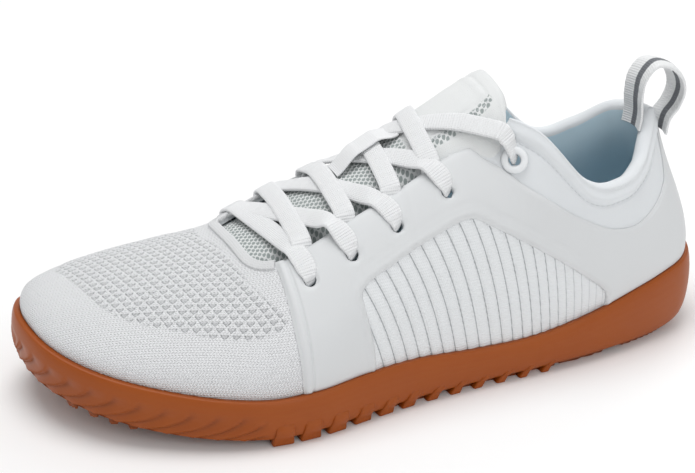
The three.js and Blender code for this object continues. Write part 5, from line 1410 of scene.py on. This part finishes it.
thread = Finish("thread", (0.66, 0.68, 0.70), 0.6)
thread.grain(3000.0, 0.00003)
thread_fibre = thread.done()
COLLAR_STITCH, COLLAR_STITCH_END, COLLAR_STITCH_SINK = 0.888, 6.3, 0.35
COLLAR_PITCH, COLLAR_LENGTH, PANEL_PITCH, PANEL_LENGTH, THREAD = 2.6, 2.0, 2.4, 1.8, 0.42
PANEL_STITCH_COLUMNS, PANEL_STITCH_FRONT, PANEL_STITCH_BACK, PANEL_STITCH_LIFT = (8, 62), 0.448, 0.342, 0.12
collar_lines = []
for side in (1, -1):
    stitch_ks = np.linspace(0.004, COLLAR_STITCH_END / LAST_ROW, 90)
    places = [on_upper(side, k, COLLAR_STITCH) for k in stitch_ks]
    collar_lines.append([at - normal * COLLAR_STITCH_SINK for at, normal in places])
collar_stitches = stitched(
    "collar_stitches", collar_lines, COLLAR_PITCH, COLLAR_LENGTH, THREAD, thread_fibre)
along = tongue_along[:, 0]
rows_used = np.nonzero((along < PANEL_STITCH_FRONT) & (along > PANEL_STITCH_BACK))[0]
panel_lines = [[tongue_places[i, column] + (0, 0, PANEL_STITCH_LIFT) for i in rows_used]
               for column in PANEL_STITCH_COLUMNS]
panel_stitches = stitched(
    "tongue_stitches", panel_lines, PANEL_PITCH, PANEL_LENGTH, THREAD, thread_fibre)


# Lace: one flat woven cord. Each run comes out from under the eyestay, crosses the tongue and goes
# down into the next hole on the other side; the runs to the inner side lie on top.
cord = Finish("lace_cord", (0.80, 0.81, 0.82), 0.8, sheen=0.25)
ribbed(cord, 0.0011, 0.00012)
lace_cord = cord.done()

LACE_WIDTH, LACE_THICKNESS = 8, 1.8
ON_TONGUE, ON_EYESTAY, NOWHERE = 0.6, 0.3, -50


def throat_edge(side, along):
    column = 1 if side > 0 else 2
    return float(np.interp(along, THROAT_ROWS[::-1, 0], THROAT_ROWS[::-1, column])) * BALL_WIDTH


def bed_height(x, y):
    """The height of what lies under the lace: the tongue inside the throat, the eyestay beside it."""
    along = along_of(y)
    if throat_edge(-1, along) < x < throat_edge(1, along):
        return tongue_top(x, along) + ON_TONGUE
    z, rise = on_last(x, y)
    return NOWHERE if z is None else z + (GAP + OVERLAY_THICKNESS) * rise + ON_EYESTAY


def hull_over(heights, share):
    """Heights of a taut line over the given ones."""
    best = np.array(heights, float)
    for a in range(len(heights)):
        for b in range(a + 1, len(heights)):
            t = (share[a:b + 1] - share[a]) / (share[b] - share[a])
            best[a:b + 1] = np.maximum(best[a:b + 1], heights[a] * (1 - t) + heights[b] * t)
    return best


WING = (-0.9, -0.45, 0, 0.45, 0.9)
RUN_STEPS, MOST_TILT, SETTLE, RUN_ARCH = 40, 0.8, 0.4, 0.8
HOLE_NARROWING, NARROWED, HOLE_CLEAR = 3.4, 5.6, 1.2
DOWN_HOLE, DOWN_WIDTHS = (1.2, -0.4, -2.2), (5.2, 4.6, 4.0)
START_NARROWING, START_NARROWED, UP_WIDTHS = 5, 4.6, (3.4, 3.9, 4.4)


def smoothed(values, kernel):
    """A row of values blurred by the kernel, its ends held."""
    margin = len(kernel) // 2
    return np.convolve(np.r_[[values[0]] * margin, values, [values[-1]] * margin], kernel, "valid")


def narrowed(far, reach, width):
    """The cord's width at a distance from a hole, narrower within reach of it."""
    widening = (LACE_WIDTH - width) * np.sqrt(np.clip(far / reach, 0, 1))
    return np.where(far < reach, width + widening, LACE_WIDTH)


def lace_run(start, hole, lift, start_hole=None, bow=0.0):
    """A run from start down into a hole, taut over what lies under it."""
    at, normal = hole
    run = np.array([at[0] - start[0], at[1] - start[1]])
    length = np.linalg.norm(run)
    across = np.array([-run[1], run[0]]) / length
    t = np.linspace(0, 1, RUN_STEPS + 1)
    arch = np.sin(np.pi * t) ** RUN_ARCH
    centres = np.array([start[:2] + run * s for s in t]) + np.outer(arch, (0, bow))
    tilt, heights = [], []
    for p in centres:
        wing = [bed_height(*(p + across * LACE_WIDTH / 2 * part)) for part in WING]
        wing = [w if w > NOWHERE + 10 else min(x for x in wing if x > NOWHERE + 10) - 2 for w in wing]
        slope = np.clip((wing[4] - wing[0]) / (LACE_WIDTH * WING[4]), -MOST_TILT, MOST_TILT)
        tilt.append(slope)
        heights.append(max(w - slope * part * LACE_WIDTH / 2 for w, part in zip(wing, WING)))
    heights[0] = min(heights[0], start[2])
    heights = hull_over(heights, t)
    kernel = np.hanning(9) / np.hanning(9).sum()
    heights = np.maximum(smoothed(heights, kernel), heights - SETTLE)
    path = np.c_[centres, heights + LACE_THICKNESS / 2 + lift * arch]
    sides = np.c_[np.tile(across, (len(t), 1)), smoothed(tilt, kernel)]
    far, near = (1 - t) * length, t * length
    widths = narrowed(far, HOLE_NARROWING, NARROWED)
    if start_hole:
        widths = np.minimum(widths, narrowed(near, START_NARROWING, START_NARROWED))
    first_side, last_side = sides[0], sides[-1]
    used = (far > HOLE_CLEAR) & ((near > HOLE_CLEAR) | (start_hole is None))
    path, sides, widths = path[used], sides[used], widths[used]
    path = np.vstack([path, [at + normal * h for h in DOWN_HOLE]])
    sides = np.vstack([sides, [last_side] * 3])
    widths = np.r_[widths, DOWN_WIDTHS]
    if start_hole:
        at, normal = start_hole
        path = np.vstack([[at + normal * h for h in DOWN_HOLE[::-1]], path])
        sides = np.vstack([[first_side] * 3, sides])
        widths = np.r_[UP_WIDTHS, widths]
    for _ in range(2):
        path[1:-1] = (path[:-2] + 2 * path[1:-1] + path[2:]) / 4
    return ribbon(path, sides, widths, LACE_THICKNESS)


BAR_LIFT, RUN_LIFTS, LAST_BOWS = 0.5, {1: 0.2, -1: 2.0}, {1: -8.0, -1: -3.0}
START_BEHIND, LAST_START_AHEAD, UNDER_EYESTAY = -0.004, 0.012, 1.5
runs = [lace_run(holes[-1][0][0], holes[1][0], BAR_LIFT, start_hole=holes[-1][0])]
for n in range(4):
    for side in (1, -1):
        last_run = n == 3
        shift = LAST_START_AHEAD if side < 0 and last_run else START_BEHIND
        level = along_of(holes[-side][n][0][1]) + shift
        edge_x = throat_edge(-side, level) - side * UNDER_EYESTAY
        start = np.array([edge_x, y_at(level), tongue_top(edge_x, level) + ON_EYESTAY])
        bow = LAST_BOWS[side] if last_run else 0.0
        runs.append(lace_run(start, holes[side][n + 1], RUN_LIFTS[side], bow=bow))
vertices, faces, uv = joined(runs)
lace = piece("lace_runs", vertices, faces, [lace_cord], uv=uv)
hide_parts("lace")


# Lace keeper: a short strip of the tongue's cloth sewn down at both ends, with the lace passed
# under its middle to hold the tongue in place.
KEEPER_FRONT, KEEPER_BACK, KEEPER_X = 0.547, 0.455, -0.090
KEEPER_WIDTH, KEEPER_THICKNESS, KEEPER_STEPS = 11, 1.2, 30
KEEPER_LOW, KEEPER_ARCH, KEEPER_RAMP, KEEPER_TILT_REACH = 0.4, 4.6, 0.36, 4
keeper_path, keeper_sides = [], []
x, reach = KEEPER_X * BALL_WIDTH, KEEPER_TILT_REACH
for t in np.linspace(0, 1, KEEPER_STEPS + 1):
    along = KEEPER_FRONT + (KEEPER_BACK - KEEPER_FRONT) * t
    arch = KEEPER_LOW + KEEPER_ARCH * float(smoothstep(0.0, KEEPER_RAMP, min(t, 1 - t)))
    keeper_path.append((x, y_at(along), tongue_top(x, along) + arch + KEEPER_THICKNESS / 2))
    keeper_sides.append((1, 0, (tongue_top(x + reach, along) - tongue_top(x - reach, along)) / (2 * reach)))
strap = Finish("keeper_cloth", (0.78, 0.79, 0.80), 0.75, sheen=0.2)
ribbed(strap, 0.0008, 0.00005)
vertices, faces, uv = ribbon(np.array(keeper_path), np.array(keeper_sides),
                             np.full(KEEPER_STEPS + 1, float(KEEPER_WIDTH)), KEEPER_THICKNESS, ribbing=0.0)
keeper = piece("keeper_strap", vertices, faces, [strap.done()], uv=uv)
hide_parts("lace_keeper")


# Top eyelets: soft moulded plastic rings pressed round the last lace holes, one on each side. Each
# is one profile, radius and height, turned round the hole's own axis.
RING_PROFILE = [(2.5, 0.6), (2.6, 0.1), (4.0, 0.05), (5.2, 0.15), (5.25, 0.6),
                (5.0, 1.0), (4.5, 1.25), (3.9, 1.3), (3.3, 1.25), (2.8, 1.05)]
RING_STEPS, RING_LIFT = 48, 0.6


def turned_ring(at, normal, profile, steps):
    normal = normal / np.linalg.norm(normal)
    a = np.cross(normal, (0, 0, 1.0))
    a /= np.linalg.norm(a)
    b = np.cross(normal, a)
    angle = np.linspace(0, 2 * np.pi, steps, endpoint=False)
    turn = a * np.cos(angle)[:, None] + b * np.sin(angle)[:, None]
    vertices = np.vstack([at + turn * r + normal * h for r, h in profile])
    faces = []
    for m in range(len(profile)):
        this, following = m * steps, (m + 1) % len(profile) * steps
        for n in range(steps):
            beside = (n + 1) % steps
            faces.append((this + n, this + beside, following + beside, following + n))
    return vertices, faces


plastic = Finish("eyelet_plastic", (0.78, 0.80, 0.815), 0.4)
plastic.grain(900.0, 0.00003)
eyelet_plastic = plastic.done()
for side, node in ((1, "eyelet_lateral"), (-1, "eyelet_medial")):
    at, normal = holes[side][4]
    vertices, faces = turned_ring(at + normal * RING_LIFT, normal, RING_PROFILE, RING_STEPS)
    ring_piece = piece(node + "_ring", vertices, faces, [eyelet_plastic])
    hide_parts(node)


# Pull loop: folded webbing sewn into the collar and the heel, with one grey stripe along it. It is
# swept along its own side line, and its edges curl back a little.
LOOP_HEIGHT, LOOP_WIDTH, LOOP_THICKNESS, LOOP_CURL = 114, 14, 1.8, 2
EDGE_THINNING, RIB_HEIGHT, RIB_TURN, STRIPE_AT, STRIPE_HALF = 0.5, 0.06, 7, -0.2, 1.7
loop_line = smooth_open([(y_at(a), h * LOOP_HEIGHT) for a, h in [
    (0.0885, 0.745), (0.0860, 0.800), (0.0875, 0.860), (0.0835, 0.930), (0.066, 0.978), (0.043, 0.968),
    (0.024, 0.925), (0.017, 0.870), (0.024, 0.815), (0.038, 0.770), (0.0425, 0.715)]], 12)
tangent = np.gradient(loop_line, axis=0)
tangent /= np.linalg.norm(tangent, axis=1)[:, None]
outward = np.c_[-tangent[:, 1], tangent[:, 0]]
loop_run = np.r_[0, np.cumsum(np.linalg.norm(np.diff(loop_line, axis=0), axis=1))]
LOOP_ACROSS = np.linspace(-1, 1, 29)
section = [(x, 1) for x in LOOP_ACROSS] + [(x, -1) for x in LOOP_ACROSS[::-1]]
rings, loop_uv, stripe = [], [], []
for n in range(len(loop_line)):
    ring_points = []
    for x, face in section:
        rib = RIB_HEIGHT * math.sin(loop_run[n] * RIB_TURN)
        half = LOOP_THICKNESS / 2 * (1 - EDGE_THINNING * abs(x) ** 8) + rib
        p = loop_line[n] + outward[n] * face * half
        px = x * LOOP_WIDTH / 2
        ring_points.append((px, p[0] - LOOP_CURL * x * x, p[1]))
        loop_uv.append((loop_run[n], px))
        stripe.append(float(abs(px - STRIPE_AT) < STRIPE_HALF))
    rings.append(np.array(ring_points))
vertices, faces = ring_skin(rings)
n = len(section)
faces += [tuple(range(n))[::-1], tuple(range(len(vertices) - n, len(vertices)))]
if np.sum(mesh_normals(vertices, faces)[:n] * (vertices[:n] - vertices[:n].mean(0))) < 0:
    faces = [tuple(reversed(face)) for face in faces]
webbing = Finish("loop_webbing", (0.80, 0.81, 0.815), 0.7, sheen=0.2)
webbing.tint(webbing.mark("stripe"), (0.125, 0.135, 0.15))
ribbed(webbing, 0.0010, 0.00010)
loop_piece = piece("pull_loop_web", vertices, faces, [webbing.done()], uv=np.array(loop_uv),
                   marks={"stripe": stripe})
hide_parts("pull_loop")


# Insole: the foam board seen down the collar keeps its packed form. Its top is brushed cloth in a
# blue grey, glued to the foam.
foam = Finish("insole_cover", (0.22, 0.37, 0.47), 0.9, sheen=0.2)
foam.grain(1400.0, 0.0001)
insole_cover = foam.done()
insole_node = bpy.data.objects["insole"]
for slot in insole_node.material_slots:
    slot.material = insole_cover
